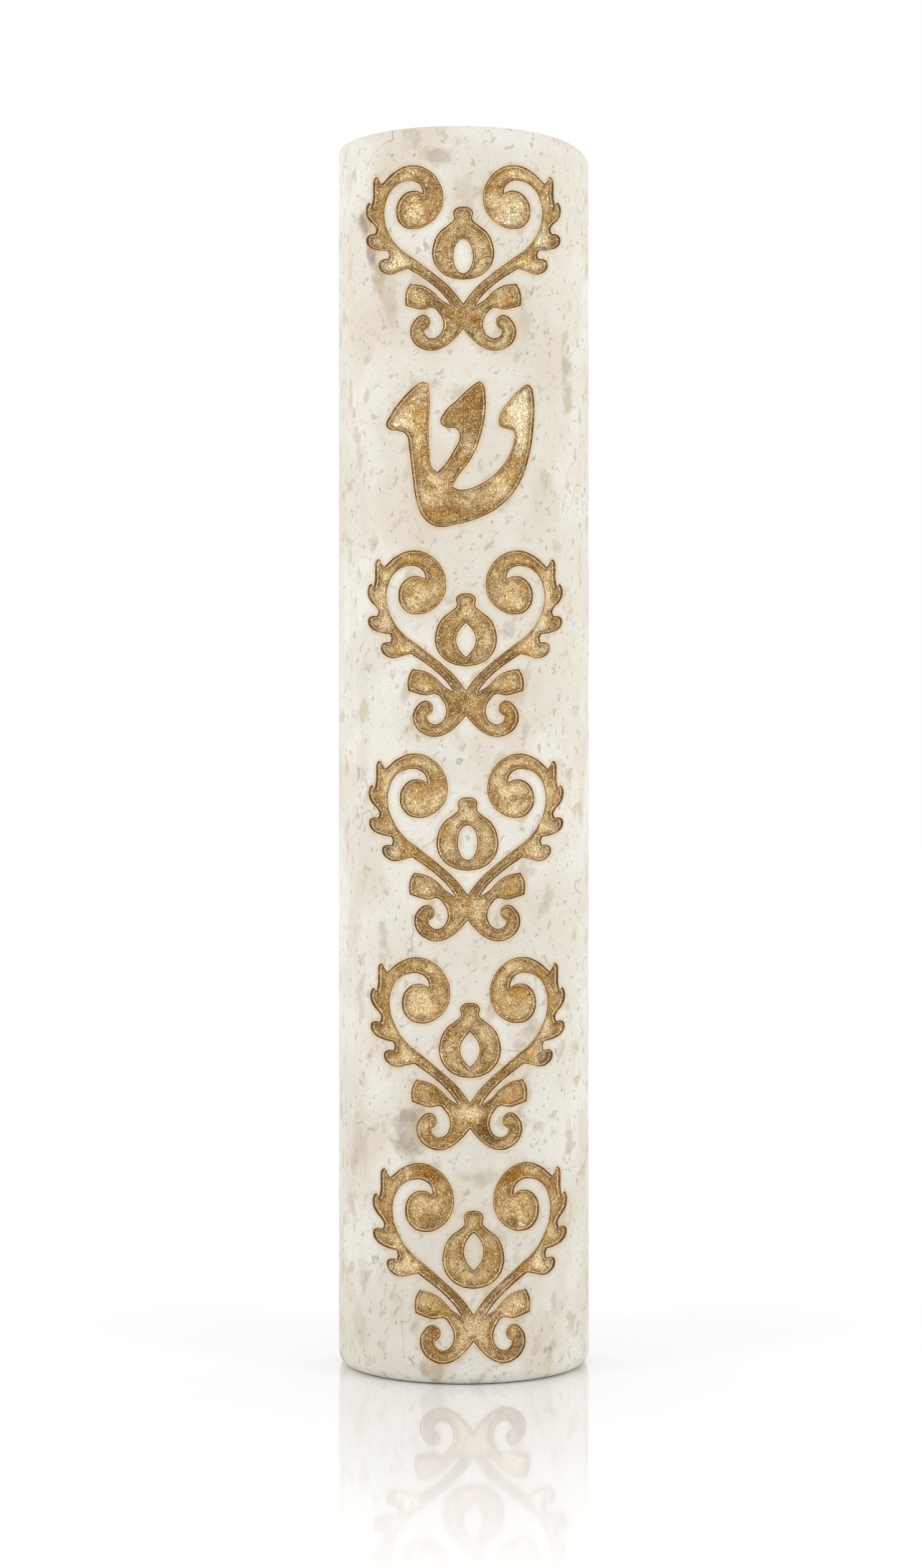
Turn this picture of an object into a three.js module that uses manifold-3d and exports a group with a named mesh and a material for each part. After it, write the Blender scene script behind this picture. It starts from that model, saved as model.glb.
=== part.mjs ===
// A stone case for a door-post scroll. The front is a half-round column with five sunk and gilded
// scroll ornaments and one sunk letter. A slot in the back holds the rolled parchment in its sleeve,
// a push-fit cover closes the slot, and two foam strips fix the case to the post.
// Millimetres, +Z up, the front faces -Y, and the origin is below the middle of the base.
import * as THREE from "three";
import { mergeVertices } from "three/addons/utils/BufferGeometryUtils.js";
import Module from "manifold-3d";

const wasm = await Module();
wasm.setup();

// ---------- Driving dimensions ----------

// Parchment roll and its sleeve
const parchmentHeight = 120;
const parchmentThickness = 0.4;
const rollCoreRadius = 2;
const rollPitch = 0.6; // from one turn to the next
const rollTurns = 4.75;
const sleeveWall = 0.3;
const sleeveGap = 0.3; // between roll and sleeve
const sleeveOverhang = 1; // past each end of the roll

// Slot in the back of the stone, cut with a straight round cutter
const slotSideGap = 1.15; // between sleeve and slot side
const slotDepthGap = 0.4; // in front of the sleeve, and again behind it
const slotFootGap = 0.3; // under the sleeve, where it meets the round end
const slotHeadroom = 7.54; // over the sleeve, to get a finger in
const ledgeWidth = 3; // step that the cover rests on
const rebateDepth = 2;
const rebateCorner = 3;
const thumbScoopRadius = 5;
const thumbScoopExtraDepth = 0.6;

// Stone
const stoneRadius = 16;
const frontWall = 5.5; // stone left in front of the slot
const endWall = 11; // stone left above and below the slot
const topEdgeRadius = 2.2;
const baseEdgeRadius = 1.7;
const backChamfer = 0.5;

// Cover
const coverThickness = 1.6;
const coverSideGap = 0.2;
const coverSeatGap = 0.1;
const coverLipHeight = 0.8;
const coverLipWall = 1;

// Foam strips
const foamThickness = 1;
const foamMargin = 0.7; // to the edge of the land on both sides
const foamEndMargin = 7;
const foamCorner = 1;

// Sunk ornament
const pocketDepth = 1;
const gildingThickness = 0.4;
const gildingUnderGap = 0.15;
const gildingSideGap = 0.1;

// The outlines below are drawn in millimetres for a column of this radius and height. They are
// fitted to the stone from these two sizes, so the ornament keeps its place on any column.
const drawnRadius = 16;
const drawnHeight = 155;

// Fineness of the faceted surface
const frontFacets = 20;
const edgeSteps = 4;
const slotEndSteps = 6;
const rollStepsPerTurn = 16;
const outlineStep = 0.25; // between samples along a smooth line
const outlineTolerance = 0.1; // how far a straight edge may leave the smooth line
const shortestEdge = 0.3;
const holeSteps = 18;
const sleeveArcSteps = 14;
const foamCornerSteps = 1;
const mitreLimit = 0.5; // a sharp corner moves at most twice as far as its edges
const surfaceOvershoot = 1; // how far a cutter stands out of the surface that it cuts

// ---------- Sizes that follow ----------

const rollRadius = rollCoreRadius + rollTurns * rollPitch + parchmentThickness;
const sleeveInnerRadius = rollRadius + sleeveGap;
const sleeveRadius = sleeveInnerRadius + sleeveWall;
const sleeveLength = parchmentHeight + 2 * sleeveOverhang;
const slotRadius = sleeveRadius + slotSideGap;
// A round sleeve end first meets the slot's round end where the two are this far apart in height.
const slotEndRise = slotRadius - Math.sqrt(slotRadius ** 2 - sleeveRadius ** 2);
const slotLength = slotEndRise + slotFootGap + sleeveLength + slotHeadroom;
const slotDepth = rebateDepth + 2 * (sleeveRadius + slotDepthGap);
const stoneHeight = slotLength + 2 * endWall;
const flankDepth = slotDepth + frontWall - stoneRadius; // straight sides behind the half round
const rebateHalfWidth = slotRadius + ledgeWidth;
const slotBottom = endWall;
const slotTop = stoneHeight - endWall;
const sleeveBottom = slotBottom + slotEndRise + slotFootGap;
const rollAxisY = flankDepth - rebateDepth - slotDepthGap - sleeveRadius;
// Everything is built round the column's axis and then moved back by this much, so that the
// finished object, foam included, has its middle on the origin.
const moveBack = (stoneRadius - flankDepth - foamThickness) / 2;

// ---------- Materials ----------

function material(colour, roughness, metalness, opacity = 1) {
  return new THREE.MeshStandardMaterial({
    color: colour,
    roughness: roughness,
    metalness: metalness,
    opacity: opacity,
    transparent: opacity < 1,
  });
}

const limestone = () => material(0xe6e0d2, 0.75, 0);
const gold = () => material(0xb98d4c, 0.38, 1);
const parchment = () => material(0xe3d6b4, 0.7, 0);
const clearFilm = () => material(0xf2f5f5, 0.12, 0, 0.35);
const ivoryPlastic = () => material(0xe9e5d8, 0.45, 0);
const foam = () => material(0xf3f2ee, 0.9, 0);

// ---------- Solids ----------

// Turns closed geometry into a solid that can be joined and cut.
function solid(geometry) {
  const bare = geometry.clone();
  bare.deleteAttribute("normal");
  bare.deleteAttribute("uv");
  const merged = mergeVertices(bare, 1e-4);
  return new wasm.Manifold(
    new wasm.Mesh({
      numProp: 3,
      vertProperties: new Float32Array(merged.attributes.position.array),
      triVerts: new Uint32Array(merged.index.array),
    }),
  );
}

function toGeometry(body) {
  const mesh = body.getMesh();
  const geometry = new THREE.BufferGeometry();
  geometry.setAttribute("position", new THREE.BufferAttribute(mesh.vertProperties, 3));
  geometry.setIndex(new THREE.BufferAttribute(mesh.triVerts, 1));
  return geometry;
}

function indexed(positions, triangles) {
  const geometry = new THREE.BufferGeometry();
  geometry.setAttribute("position", new THREE.Float32BufferAttribute(positions, 3));
  geometry.setIndex(triangles);
  return geometry;
}

function named(name, geometry, finish) {
  geometry.computeVertexNormals();
  const mesh = new THREE.Mesh(geometry, finish);
  mesh.name = name;
  return mesh;
}

// An outline drawn across (X) and up (Z), given thickness from the plane y = front back to the plane
// y = front + depth.
function plateAlongY(shape, front, depth, steps = slotEndSteps) {
  const geometry = new THREE.ExtrudeGeometry(shape, {
    depth: depth,
    bevelEnabled: false,
    curveSegments: steps,
  });
  geometry.rotateX(Math.PI / 2);
  geometry.translate(0, front + depth, 0);
  return geometry;
}

// A slot outline with round ends.
function stadium(radius, bottom, top) {
  const shape = new THREE.Shape();
  shape.absarc(0, top - radius, radius, 0, Math.PI, false);
  shape.absarc(0, bottom + radius, radius, Math.PI, 2 * Math.PI, false);
  shape.closePath();
  return shape;
}

function roundedRectangle(left, right, bottom, top, radius) {
  const shape = new THREE.Shape();
  shape.absarc(right - radius, top - radius, radius, 0, Math.PI / 2, false);
  shape.absarc(left + radius, top - radius, radius, Math.PI / 2, Math.PI, false);
  shape.absarc(left + radius, bottom + radius, radius, Math.PI, 1.5 * Math.PI, false);
  shape.absarc(right - radius, bottom + radius, radius, 1.5 * Math.PI, 2 * Math.PI, false);
  shape.closePath();
  return shape;
}

// ---------- The half-round column ----------

// The facets' corners on the half-round front, from the left side through -Y to the right side.
function frontArc(radius) {
  return Array.from({ length: frontFacets + 1 }, (_, i) => {
    const angle = Math.PI * (1 + i / frontFacets);
    return new THREE.Vector2(radius * Math.cos(angle), radius * Math.sin(angle));
  });
}

// The column's plan, drawn in by an inset on the front and the sides but not at the back.
function plan(inset) {
  const radius = stoneRadius - inset;
  return [
    ...frontArc(radius),
    new THREE.Vector2(radius, flankDepth - backChamfer),
    new THREE.Vector2(radius - backChamfer, flankDepth),
    new THREE.Vector2(-radius + backChamfer, flankDepth),
    new THREE.Vector2(-radius, flankDepth - backChamfer),
  ];
}

// Heights and insets from the base to the top, with both edges rounded.
function columnLevels() {
  const levels = [];
  for (let i = 0; i <= edgeSteps; i += 1) {
    const angle = (Math.PI / 2) * (i / edgeSteps);
    levels.push({
      z: baseEdgeRadius * (1 - Math.cos(angle)),
      inset: baseEdgeRadius * (1 - Math.sin(angle)),
    });
  }
  for (let i = 0; i <= edgeSteps; i += 1) {
    const angle = (Math.PI / 2) * (i / edgeSteps);
    levels.push({
      z: stoneHeight - topEdgeRadius * (1 - Math.sin(angle)),
      inset: topEdgeRadius * (1 - Math.cos(angle)),
    });
  }
  return levels;
}

function column() {
  const rings = columnLevels().map((level) => ({ z: level.z, points: plan(level.inset) }));
  const count = rings[0].points.length;
  const positions = rings.flatMap((ring) => ring.points.flatMap((p) => [p.x, p.y, ring.z]));
  const triangles = [];
  for (let level = 0; level + 1 < rings.length; level += 1) {
    for (let i = 0; i < count; i += 1) {
      const a = level * count + i;
      const b = level * count + ((i + 1) % count);
      triangles.push(a, b, b + count, a, b + count, a + count);
    }
  }
  const cap = THREE.ShapeUtils.triangulateShape(rings[0].points, []);
  const last = (rings.length - 1) * count;
  cap.forEach(([a, b, c]) => {
    triangles.push(c, b, a);
    triangles.push(last + a, last + b, last + c);
  });
  return solid(indexed(positions, triangles));
}

// The part of the round front between two radii, over the column's full height.
function frontShell(innerRadius, outerRadius) {
  const outline = [...frontArc(outerRadius), ...frontArc(innerRadius).reverse()];
  const geometry = new THREE.ExtrudeGeometry(new THREE.Shape(outline), {
    depth: stoneHeight,
    bevelEnabled: false,
  });
  return solid(geometry);
}

// ---------- Ornament outlines ----------
// Each point is [across, up] on the unrolled front, measured from the ornament's own middle.
// The line is smooth along each run and turns a corner between runs. Only the right half is given.

const scrollHalf = [
  // inner edge of the stem and the volute's band, up to the end of the gap beside the eye
  [
    [0, -5.8], [1.1, -4.35], [2.1, -3.3], [4.1, -1.65], [6.1, -0.15], [8.1, 1.3], [9.6, 3.1],
    [10.45, 5.1], [10.4, 6.9], [9.3, 8.75], [7.2, 9.6], [6.0, 9.4], [5.3, 8.8], [5.05, 7.95],
  ],
  // round the eye and back along the outer edge of the band
  [
    [5.05, 7.95], [6.3, 8.35], [7.9, 7.8], [8.75, 6.1], [8.05, 4.3], [6.3, 3.6], [4.2, 4.15],
    [2.8, 5.65], [2.45, 7.4], [3.0, 9.3], [4.4, 10.8], [6.5, 11.5], [8.8, 11.0], [10.9, 9.65],
  ],
  // first leaf
  [[10.9, 9.65], [11.35, 10.1], [11.8, 10.6], [12.3, 10.35], [12.45, 9.4], [12.45, 8.3], [12.7, 7.25]],
  // second leaf
  [
    [12.7, 7.25], [13.2, 7.55], [13.65, 7.2], [13.8, 6.3], [13.2, 5.4], [12.3, 4.7], [11.9, 4.1],
    [12.1, 3.6],
  ],
  // third leaf
  [
    [12.1, 3.6], [13.0, 3.6], [13.65, 3.3], [13.7, 2.7], [13.1, 2.05], [11.6, 1.5], [10.0, 1.25],
  ],
  // notch under the third leaf, then the fourth leaf
  [[10.0, 1.25], [9.8, 0.75], [9.9, 0.25]],
  [
    [9.9, 0.25], [10.7, 0.25], [11.35, -0.05], [11.4, -0.7], [10.7, -1.4], [9.4, -1.75],
    [8.2, -1.5], [7.0, -1.25],
  ],
  // outer edge of the stem, down to the gap beside the bud
  [[7.0, -1.25], [5.1, -2.45], [3.3, -3.85], [2.2, -5.0], [1.5, -6.0]],
  // bud: upper edge, broad end, lower edge
  [[1.5, -6.0], [2.7, -5.25], [3.6, -4.35], [4.9, -3.5], [6.75, -3.1]],
  [[6.75, -3.1], [7.25, -3.9], [7.45, -4.8], [7.35, -5.8]],
  // from the bud's lower edge round the inside of the small curl
  [
    [7.35, -5.8], [6.2, -6.15], [5.0, -6.4], [3.7, -6.25], [3.0, -6.9], [2.5, -7.9], [2.55, -8.9],
    [3.15, -9.75], [4.0, -9.95], [4.75, -9.45], [4.85, -8.95],
  ],
  // round the curl's tip and back along its outer edge
  [
    [4.85, -8.95], [4.25, -8.5], [4.1, -7.85], [4.4, -7.3], [5.15, -7.05], [6.2, -7.7], [6.75, -8.9],
    [6.4, -10.2], [5.3, -11.15], [3.7, -11.5], [2.1, -10.95], [0.9, -9.95], [0, -8.9],
  ],
];

// Body, neck and crown of the pomegranate, from its lowest point up the right side.
const pomegranateHalf = [
  [0, -2.85], [1.5, -2.6], [2.9, -1.75], [3.75, -0.3], [3.75, 1.4], [2.95, 3.05], [1.75, 4.0],
  [1.15, 4.6], [1.2, 5.5], [0.75, 6.0], [0, 6.15],
];

// The letter Shin: three arms with slanting heads that rise from one rounded foot.
const shin = [
  // left arm's head, and down its outer side round the foot to the top of the right arm
  [
    [-4.5, 8.75], [-5.3, 9.0], [-6.2, 8.6], [-8.2, 6.95], [-9.9, 5.05], [-10.45, 3.95], [-9.9, 3.4],
    [-8.4, 3.1], [-7.45, 2.55], [-7.1, 1.0], [-6.6, -2.8], [-6.0, -6.0], [-5.1, -7.8], [-3.4, -8.85],
    [-1.0, -8.6], [2.1, -7.65], [4.9, -5.9], [7.0, -3.4], [8.3, -0.2], [9.0, 3.6], [9.1, 6.8],
    [8.85, 8.35],
  ],
  // right arm's head and its inner side down to the foot
  [
    [8.85, 8.35], [8.2, 8.85], [7.3, 8.4], [5.5, 6.6], [4.3, 4.7], [4.4, 3.55], [5.3, 3.25],
    [6.2, 2.9], [6.25, 2.0], [5.4, -0.3], [3.8, -2.3], [1.6, -3.8], [-0.6, -4.35], [-1.55, -3.95],
  ],
  // up the middle arm's right side to its head
  [[-1.55, -3.95], [-0.9, -2.8], [0.8, -0.5], [2.0, 2.4], [2.6, 5.8], [2.5, 8.2]],
  // middle arm's head and its left side down to the fork
  [
    [2.5, 8.2], [1.9, 8.95], [1.1, 8.55], [-0.9, 6.75], [-2.7, 4.95], [-3.0, 3.95], [-2.3, 3.35],
    [-1.0, 3.1], [-0.6, 2.3], [-1.4, 0.4], [-2.6, -1.4], [-3.4, -2.15],
  ],
  // up the left arm's inner side
  [[-3.4, -2.15], [-4.1, -1.5], [-4.4, 0.6], [-4.5, 3.2], [-4.35, 6.6], [-4.5, 8.75]],
];

// One row for each ornament, from the top: the height of its middle, how far it was stretched and
// how far it drifted to the right when the stencil was laid, and the hole in its pomegranate.
const ornaments = [
  { middle: 138.8, stretch: 1.0, drift: -0.1, hole: { middle: 0.05, pointed: 0 } },
  { middle: 91.3, stretch: 1.0, drift: 0.25, hole: { middle: 0.4, pointed: 1 } },
  { middle: 66.2, stretch: 1.005, drift: 0.45, hole: { middle: 0.6, pointed: 0 } },
  { middle: 40.8, stretch: 1.03, drift: 0.75, hole: { middle: 0.55, pointed: 1 } },
  { middle: 15.0, stretch: 1.07, drift: 1.2, hole: { middle: 1.45, pointed: 0.7 } },
];
const shinPlace = { middle: 114.5, stretch: 1.0, drift: 0.1 };
const holeHalfWidth = 1.2;
const holeHalfHeight = 2.1;

// ---------- From outlines to sunk shapes ----------

const vectors = (points) => points.map(([across, up]) => new THREE.Vector3(across, up, 0));
const mirrored = (points) => points.map(([across, up]) => [-across, up]).reverse();

// Leaves out the points that a straight line comes close enough to.
function thinned(points) {
  const first = points[0];
  const last = points[points.length - 1];
  const chord = new THREE.Line3(first, last);
  const foot = new THREE.Vector3();
  let farthest = 0;
  let at = 0;
  points.forEach((point, i) => {
    const distance = chord.closestPointToPoint(point, true, foot).distanceTo(point);
    if (distance > farthest) {
      farthest = distance;
      at = i;
    }
  });
  if (farthest < outlineTolerance) return [first, last];
  return [...thinned(points.slice(0, at + 1)).slice(0, -1), ...thinned(points.slice(at))];
}

// Samples each run as a smooth line and joins the runs into one closed loop.
function closedLoop(runs) {
  const points = runs.flatMap((run) => {
    const curve = new THREE.CatmullRomCurve3(vectors(run), false, "centripetal");
    const count = Math.ceil(curve.getLength() / outlineStep);
    return thinned(curve.getSpacedPoints(count)).slice(0, -1);
  });
  return points.filter((p, i) => p.distanceTo(points[(i + 1) % points.length]) > shortestEdge);
}

// One smooth closed line with no corners, from its lowest point up the right side and down the left.
function smoothLoop(rightHalf) {
  const left = mirrored(rightHalf).slice(1, -1);
  const curve = new THREE.CatmullRomCurve3(vectors([...rightHalf, ...left]), true, "centripetal");
  const count = 2 * Math.ceil(curve.getLength() / outlineStep / 2);
  const points = curve.getSpacedPoints(count);
  const right = thinned(points.slice(0, count / 2 + 1)).slice(0, -1);
  return [...right, ...thinned(points.slice(count / 2)).slice(0, -1)];
}

// The hole in a pomegranate: an ellipse, or two arcs that meet in points, or between the two.
function holeLoop(hole) {
  return Array.from({ length: holeSteps }, (_, i) => {
    const angle = (2 * Math.PI * i) / holeSteps;
    const ellipse = Math.sin(angle);
    const almond = Math.sign(ellipse) * ellipse ** 2;
    const across = holeHalfWidth * THREE.MathUtils.lerp(ellipse, almond, hole.pointed);
    return new THREE.Vector3(across, hole.middle + holeHalfHeight * Math.cos(angle), 0);
  });
}

// Places a drawn loop on the stone: round the front and up it, then seen straight from the front.
function fitted(loop, place) {
  return loop.map((p) => {
    const around = (p.x + place.drift) / drawnRadius;
    const up = ((place.middle + p.y * place.stretch) * stoneHeight) / drawnHeight;
    return new THREE.Vector2(stoneRadius * Math.sin(around), up);
  });
}

// Turns a loop the way asked for.
function turned(loop, clockwise) {
  return THREE.ShapeUtils.isClockWise(loop) === clockwise ? loop : [...loop].reverse();
}

// Moves an anticlockwise loop's edges in by a distance, or a clockwise hole's edges out by it.
function drawnIn(loop, distance) {
  return loop.map((point, i) => {
    const before = loop[(i + loop.length - 1) % loop.length];
    const after = loop[(i + 1) % loop.length];
    const arriving = point.clone().sub(before).normalize();
    const leaving = after.clone().sub(point).normalize();
    const normal = new THREE.Vector2(-arriving.y - leaving.y, arriving.x + leaving.x).normalize();
    const along = Math.max(normal.x * -leaving.y + normal.y * leaving.x, mitreLimit);
    return point.clone().addScaledVector(normal, distance / along);
  });
}

// A loop and its holes, taken straight back through the round front and into the column.
function straightCut(outline, holes) {
  const shape = new THREE.Shape(outline);
  shape.holes = holes.map((hole) => new THREE.Path(hole));
  const front = -stoneRadius - surfaceOvershoot;
  return solid(plateAlongY(shape, front, stoneRadius));
}

const scrollLoop = closedLoop([...scrollHalf, ...scrollHalf.map(mirrored).reverse()]);
const shinLoop = closedLoop(shin);
const pomegranateLoop = smoothLoop(pomegranateHalf);

// Every sunk shape: its name, its outline and its holes.
function sunkShape(name, loop, holes, place) {
  return {
    name: name,
    outline: turned(fitted(loop, place), false),
    holes: holes.map((hole) => turned(fitted(hole, place), true)),
  };
}

const sunkShapes = [
  ...ornaments.flatMap((ornament, i) => [
    sunkShape(`scroll_gilding_${i + 1}`, scrollLoop, [], ornament),
    sunkShape(`pomegranate_gilding_${i + 1}`, pomegranateLoop, [holeLoop(ornament.hole)], ornament),
  ]),
  sunkShape("shin_gilding", shinLoop, [], shinPlace),
];

// ---------- Pieces ----------

function stoneBody() {
  const pocketRing = frontShell(stoneRadius - pocketDepth, stoneRadius + surfaceOvershoot);
  const pockets = sunkShapes
    .map((shape) => straightCut(shape.outline, shape.holes).intersect(pocketRing))
    .reduce((all, pocket) => all.add(pocket));
  const slot = plateAlongY(
    stadium(slotRadius, slotBottom, slotTop),
    flankDepth - slotDepth,
    slotDepth + surfaceOvershoot,
  );
  const rebate = plateAlongY(
    roundedRectangle(
      -rebateHalfWidth,
      rebateHalfWidth,
      slotBottom - ledgeWidth,
      slotTop + ledgeWidth,
      rebateCorner,
    ),
    flankDepth - rebateDepth,
    rebateDepth + surfaceOvershoot,
  );
  const scoopShape = new THREE.Shape();
  scoopShape.absarc(0, slotBottom - ledgeWidth, thumbScoopRadius, 0, 2 * Math.PI, false);
  const scoopDepth = rebateDepth + thumbScoopExtraDepth;
  const scoop = plateAlongY(scoopShape, flankDepth - scoopDepth, scoopDepth + surfaceOvershoot);
  const backCuts = solid(slot).add(solid(rebate)).add(solid(scoop));
  return toGeometry(column().subtract(pockets).subtract(backCuts));
}

function gilding(shape) {
  const inner = stoneRadius - pocketDepth + gildingUnderGap;
  const ring = frontShell(inner, inner + gildingThickness);
  const outline = drawnIn(shape.outline, gildingSideGap);
  const holes = shape.holes.map((hole) => drawnIn(hole, gildingSideGap));
  return toGeometry(straightCut(outline, holes).intersect(ring));
}

// A plate in the rebate, with a ring inside that grips the sides of the slot.
function backCover() {
  const plate = plateAlongY(
    roundedRectangle(
      -rebateHalfWidth + coverSideGap,
      rebateHalfWidth - coverSideGap,
      slotBottom - ledgeWidth + coverSideGap,
      slotTop + ledgeWidth - coverSideGap,
      rebateCorner - coverSideGap,
    ),
    flankDepth - rebateDepth + coverSeatGap,
    coverThickness,
  );
  const lipRadius = slotRadius - coverSideGap;
  const lipShape = stadium(lipRadius, slotBottom + coverSideGap, slotTop - coverSideGap);
  const lipInset = coverSideGap + coverLipWall;
  lipShape.holes.push(stadium(lipRadius - coverLipWall, slotBottom + lipInset, slotTop - lipInset));
  const lip = plateAlongY(
    lipShape,
    flankDepth - rebateDepth + coverSeatGap - coverLipHeight,
    coverLipHeight + coverThickness / 2,
  );
  return toGeometry(solid(plate).add(solid(lip)));
}

// The roll seen from its end: a spiral band, as long as the parchment is high.
function parchmentRoll() {
  const steps = Math.round(rollTurns * rollStepsPerTurn);
  const spiral = (offset) =>
    Array.from({ length: steps + 1 }, (_, i) => {
      const turn = (rollTurns * i) / steps;
      const radius = rollCoreRadius + turn * rollPitch + offset;
      const angle = 2 * Math.PI * turn;
      return new THREE.Vector2(radius * Math.cos(angle), radius * Math.sin(angle));
    });
  const outline = [...spiral(parchmentThickness), ...spiral(0).reverse()];
  const geometry = new THREE.ExtrudeGeometry(new THREE.Shape(outline), {
    depth: parchmentHeight,
    bevelEnabled: false,
  });
  geometry.translate(0, rollAxisY, sleeveBottom + sleeveOverhang);
  return toGeometry(solid(geometry));
}

function filmSleeve() {
  const shape = new THREE.Shape();
  shape.absarc(0, 0, sleeveRadius, 0, 2 * Math.PI, false);
  const bore = new THREE.Path();
  bore.absarc(0, 0, sleeveInnerRadius, 0, 2 * Math.PI, true);
  shape.holes.push(bore);
  const geometry = new THREE.ExtrudeGeometry(shape, {
    depth: sleeveLength,
    bevelEnabled: false,
    curveSegments: sleeveArcSteps,
  });
  geometry.translate(0, rollAxisY, sleeveBottom);
  return toGeometry(solid(geometry));
}

// One strip on the flat land at the side of the cover; side is -1 on the left and 1 on the right.
function foamStrip(side) {
  const inner = rebateHalfWidth + foamMargin;
  const outer = stoneRadius - backChamfer - foamMargin;
  const strip = roundedRectangle(
    Math.min(side * inner, side * outer),
    Math.max(side * inner, side * outer),
    foamEndMargin,
    stoneHeight - foamEndMargin,
    Math.min(foamCorner, (outer - inner) / 4),
  );
  return toGeometry(solid(plateAlongY(strip, flankDepth, foamThickness, foamCornerSteps)));
}

// ---------- The finished case ----------

const group = new THREE.Group();
group.position.y = moveBack;
group.add(
  named("stone_body", stoneBody(), limestone()),
  ...sunkShapes.map((shape) => named(shape.name, gilding(shape), gold())),
  named("parchment_scroll", parchmentRoll(), parchment()),
  named("film_sleeve", filmSleeve(), clearFilm()),
  named("back_cover", backCover(), ivoryPlastic()),
  named("foam_strip_left", foamStrip(-1), foam()),
  named("foam_strip_right", foamStrip(1), foam()),
);

export default group;
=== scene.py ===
# %% [markdown]
# # A gilded stone case for a door-post scroll
# The case is one piece of cream limestone, half round at the front and flat at the back. Five sunk
# ornaments and one sunk letter run down the front, all lined with gold leaf. A slot in the back holds
# a rolled parchment in clear film, a thin cover closes the slot, and two foam strips fix the case to
# the door post.
#
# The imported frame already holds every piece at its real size, with plain facets. This lesson keeps
# those sizes and gives each piece its fine surface and its finish.

# %% Load the frame
import math

import bpy
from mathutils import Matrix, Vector


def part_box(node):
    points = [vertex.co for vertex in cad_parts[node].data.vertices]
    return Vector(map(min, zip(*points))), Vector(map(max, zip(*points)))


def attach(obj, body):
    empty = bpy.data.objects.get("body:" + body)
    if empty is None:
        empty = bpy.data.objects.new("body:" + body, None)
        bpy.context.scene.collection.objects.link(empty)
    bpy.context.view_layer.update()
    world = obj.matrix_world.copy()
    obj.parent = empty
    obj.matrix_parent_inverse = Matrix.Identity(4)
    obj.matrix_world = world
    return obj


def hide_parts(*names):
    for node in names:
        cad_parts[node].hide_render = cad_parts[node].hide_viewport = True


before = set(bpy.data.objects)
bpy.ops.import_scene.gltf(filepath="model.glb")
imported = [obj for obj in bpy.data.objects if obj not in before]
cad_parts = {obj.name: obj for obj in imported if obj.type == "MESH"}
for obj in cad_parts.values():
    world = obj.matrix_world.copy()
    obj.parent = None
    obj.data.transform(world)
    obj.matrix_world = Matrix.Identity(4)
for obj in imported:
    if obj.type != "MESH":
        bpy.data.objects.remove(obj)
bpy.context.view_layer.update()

mm = 0.001
BACKWARDS, UP = 1, 2
print("frame loaded with", len(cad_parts), "nodes")

# %% [markdown]
# ## Measuring the frame
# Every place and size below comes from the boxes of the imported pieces. The front of the stone is half
# of a round column, so half its width is the column's radius, and the column's axis lies that far
# behind the front.

# %% Measure the stone
stone_low, stone_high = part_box("stone_body")
radius = (stone_high.x - stone_low.x) / 2
height = stone_high.z - stone_low.z
axis_y = stone_low.y + radius
back_y = stone_high.y
print(f"radius {radius / mm:.1f} mm, height {height / mm:.1f} mm, axis at y {axis_y / mm:.1f} mm")

# %% [markdown]
# ## Small helpers
# Blender's operators act on whatever is selected, so each step first says which piece it works on.
# Faces, edges and points are picked in code by their place or direction, as a hand would pick them
# with the mouse.

# %% Helpers for picking and shaping
def leave_edit_mode():
    bpy.ops.object.mode_set(mode="OBJECT")


def pick(piece):
    """Makes this the only selected piece, in object mode."""
    if bpy.context.object and bpy.context.object.mode != "OBJECT":
        leave_edit_mode()
    bpy.ops.object.select_all(action="DESELECT")
    piece.select_set(True)
    bpy.context.view_layer.objects.active = piece
    return piece


def edit(piece, what="VERT"):
    """Clears what is selected on the piece and says what the next edit picks: points, edges or faces."""
    pick(piece)
    bpy.ops.object.mode_set(mode="EDIT")
    bpy.ops.mesh.select_mode(type=what)
    bpy.ops.mesh.select_all(action="DESELECT")
    leave_edit_mode()


def select(piece, items, test):
    """Selects the points, edges or faces that pass the test, and goes into edit mode."""
    for item in items:
        item.select = test(item)
    bpy.ops.object.mode_set(mode="EDIT")


def edit_all(piece):
    """Opens the whole piece for editing."""
    edit(piece)
    select(piece, piece.data.vertices, lambda v: True)


def divide(piece, cuts, test):
    """Divides the edges that pass the test, and the faces between them, by this many cuts."""
    edit(piece, "EDGE")
    select(piece, piece.data.edges, test)
    bpy.ops.mesh.subdivide(number_cuts=cuts)
    leave_edit_mode()


def ends(piece, edge):
    return [piece.data.vertices[index].co for index in edge.vertices]


def run(piece, edge, axis):
    """How far an edge goes along an axis."""
    first, second = ends(piece, edge)
    return abs(first[axis] - second[axis])


def new_piece(piece, name):
    """Names the piece that an operator has just added and bakes its place into its mesh."""
    piece.name = piece.data.name = name
    bpy.ops.object.transform_apply(location=True, rotation=True, scale=True)
    return piece


def modify(piece, kind, **settings):
    """Adds a modifier with these settings and applies it at once."""
    pick(piece)
    modifier = piece.modifiers.new(kind.lower(), kind)
    for key, value in settings.items():
        setattr(modifier, key, value)
    bpy.ops.object.modifier_apply(modifier=modifier.name)
    return piece


def copy_of(piece, name):
    """A copy with its own mesh."""
    twin = piece.copy()
    twin.data = piece.data.copy()
    twin.name = twin.data.name = name
    bpy.context.scene.collection.objects.link(twin)
    return twin


def join(pieces, name):
    """Joins pieces into the first one."""
    pick(pieces[0])
    for piece in pieces:
        piece.select_set(True)
    if len(pieces) > 1:
        bpy.ops.object.join()
    pieces[0].name = pieces[0].data.name = name
    return pieces[0]


def remove(*pieces):
    for piece in pieces:
        bpy.data.objects.remove(piece)


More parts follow.
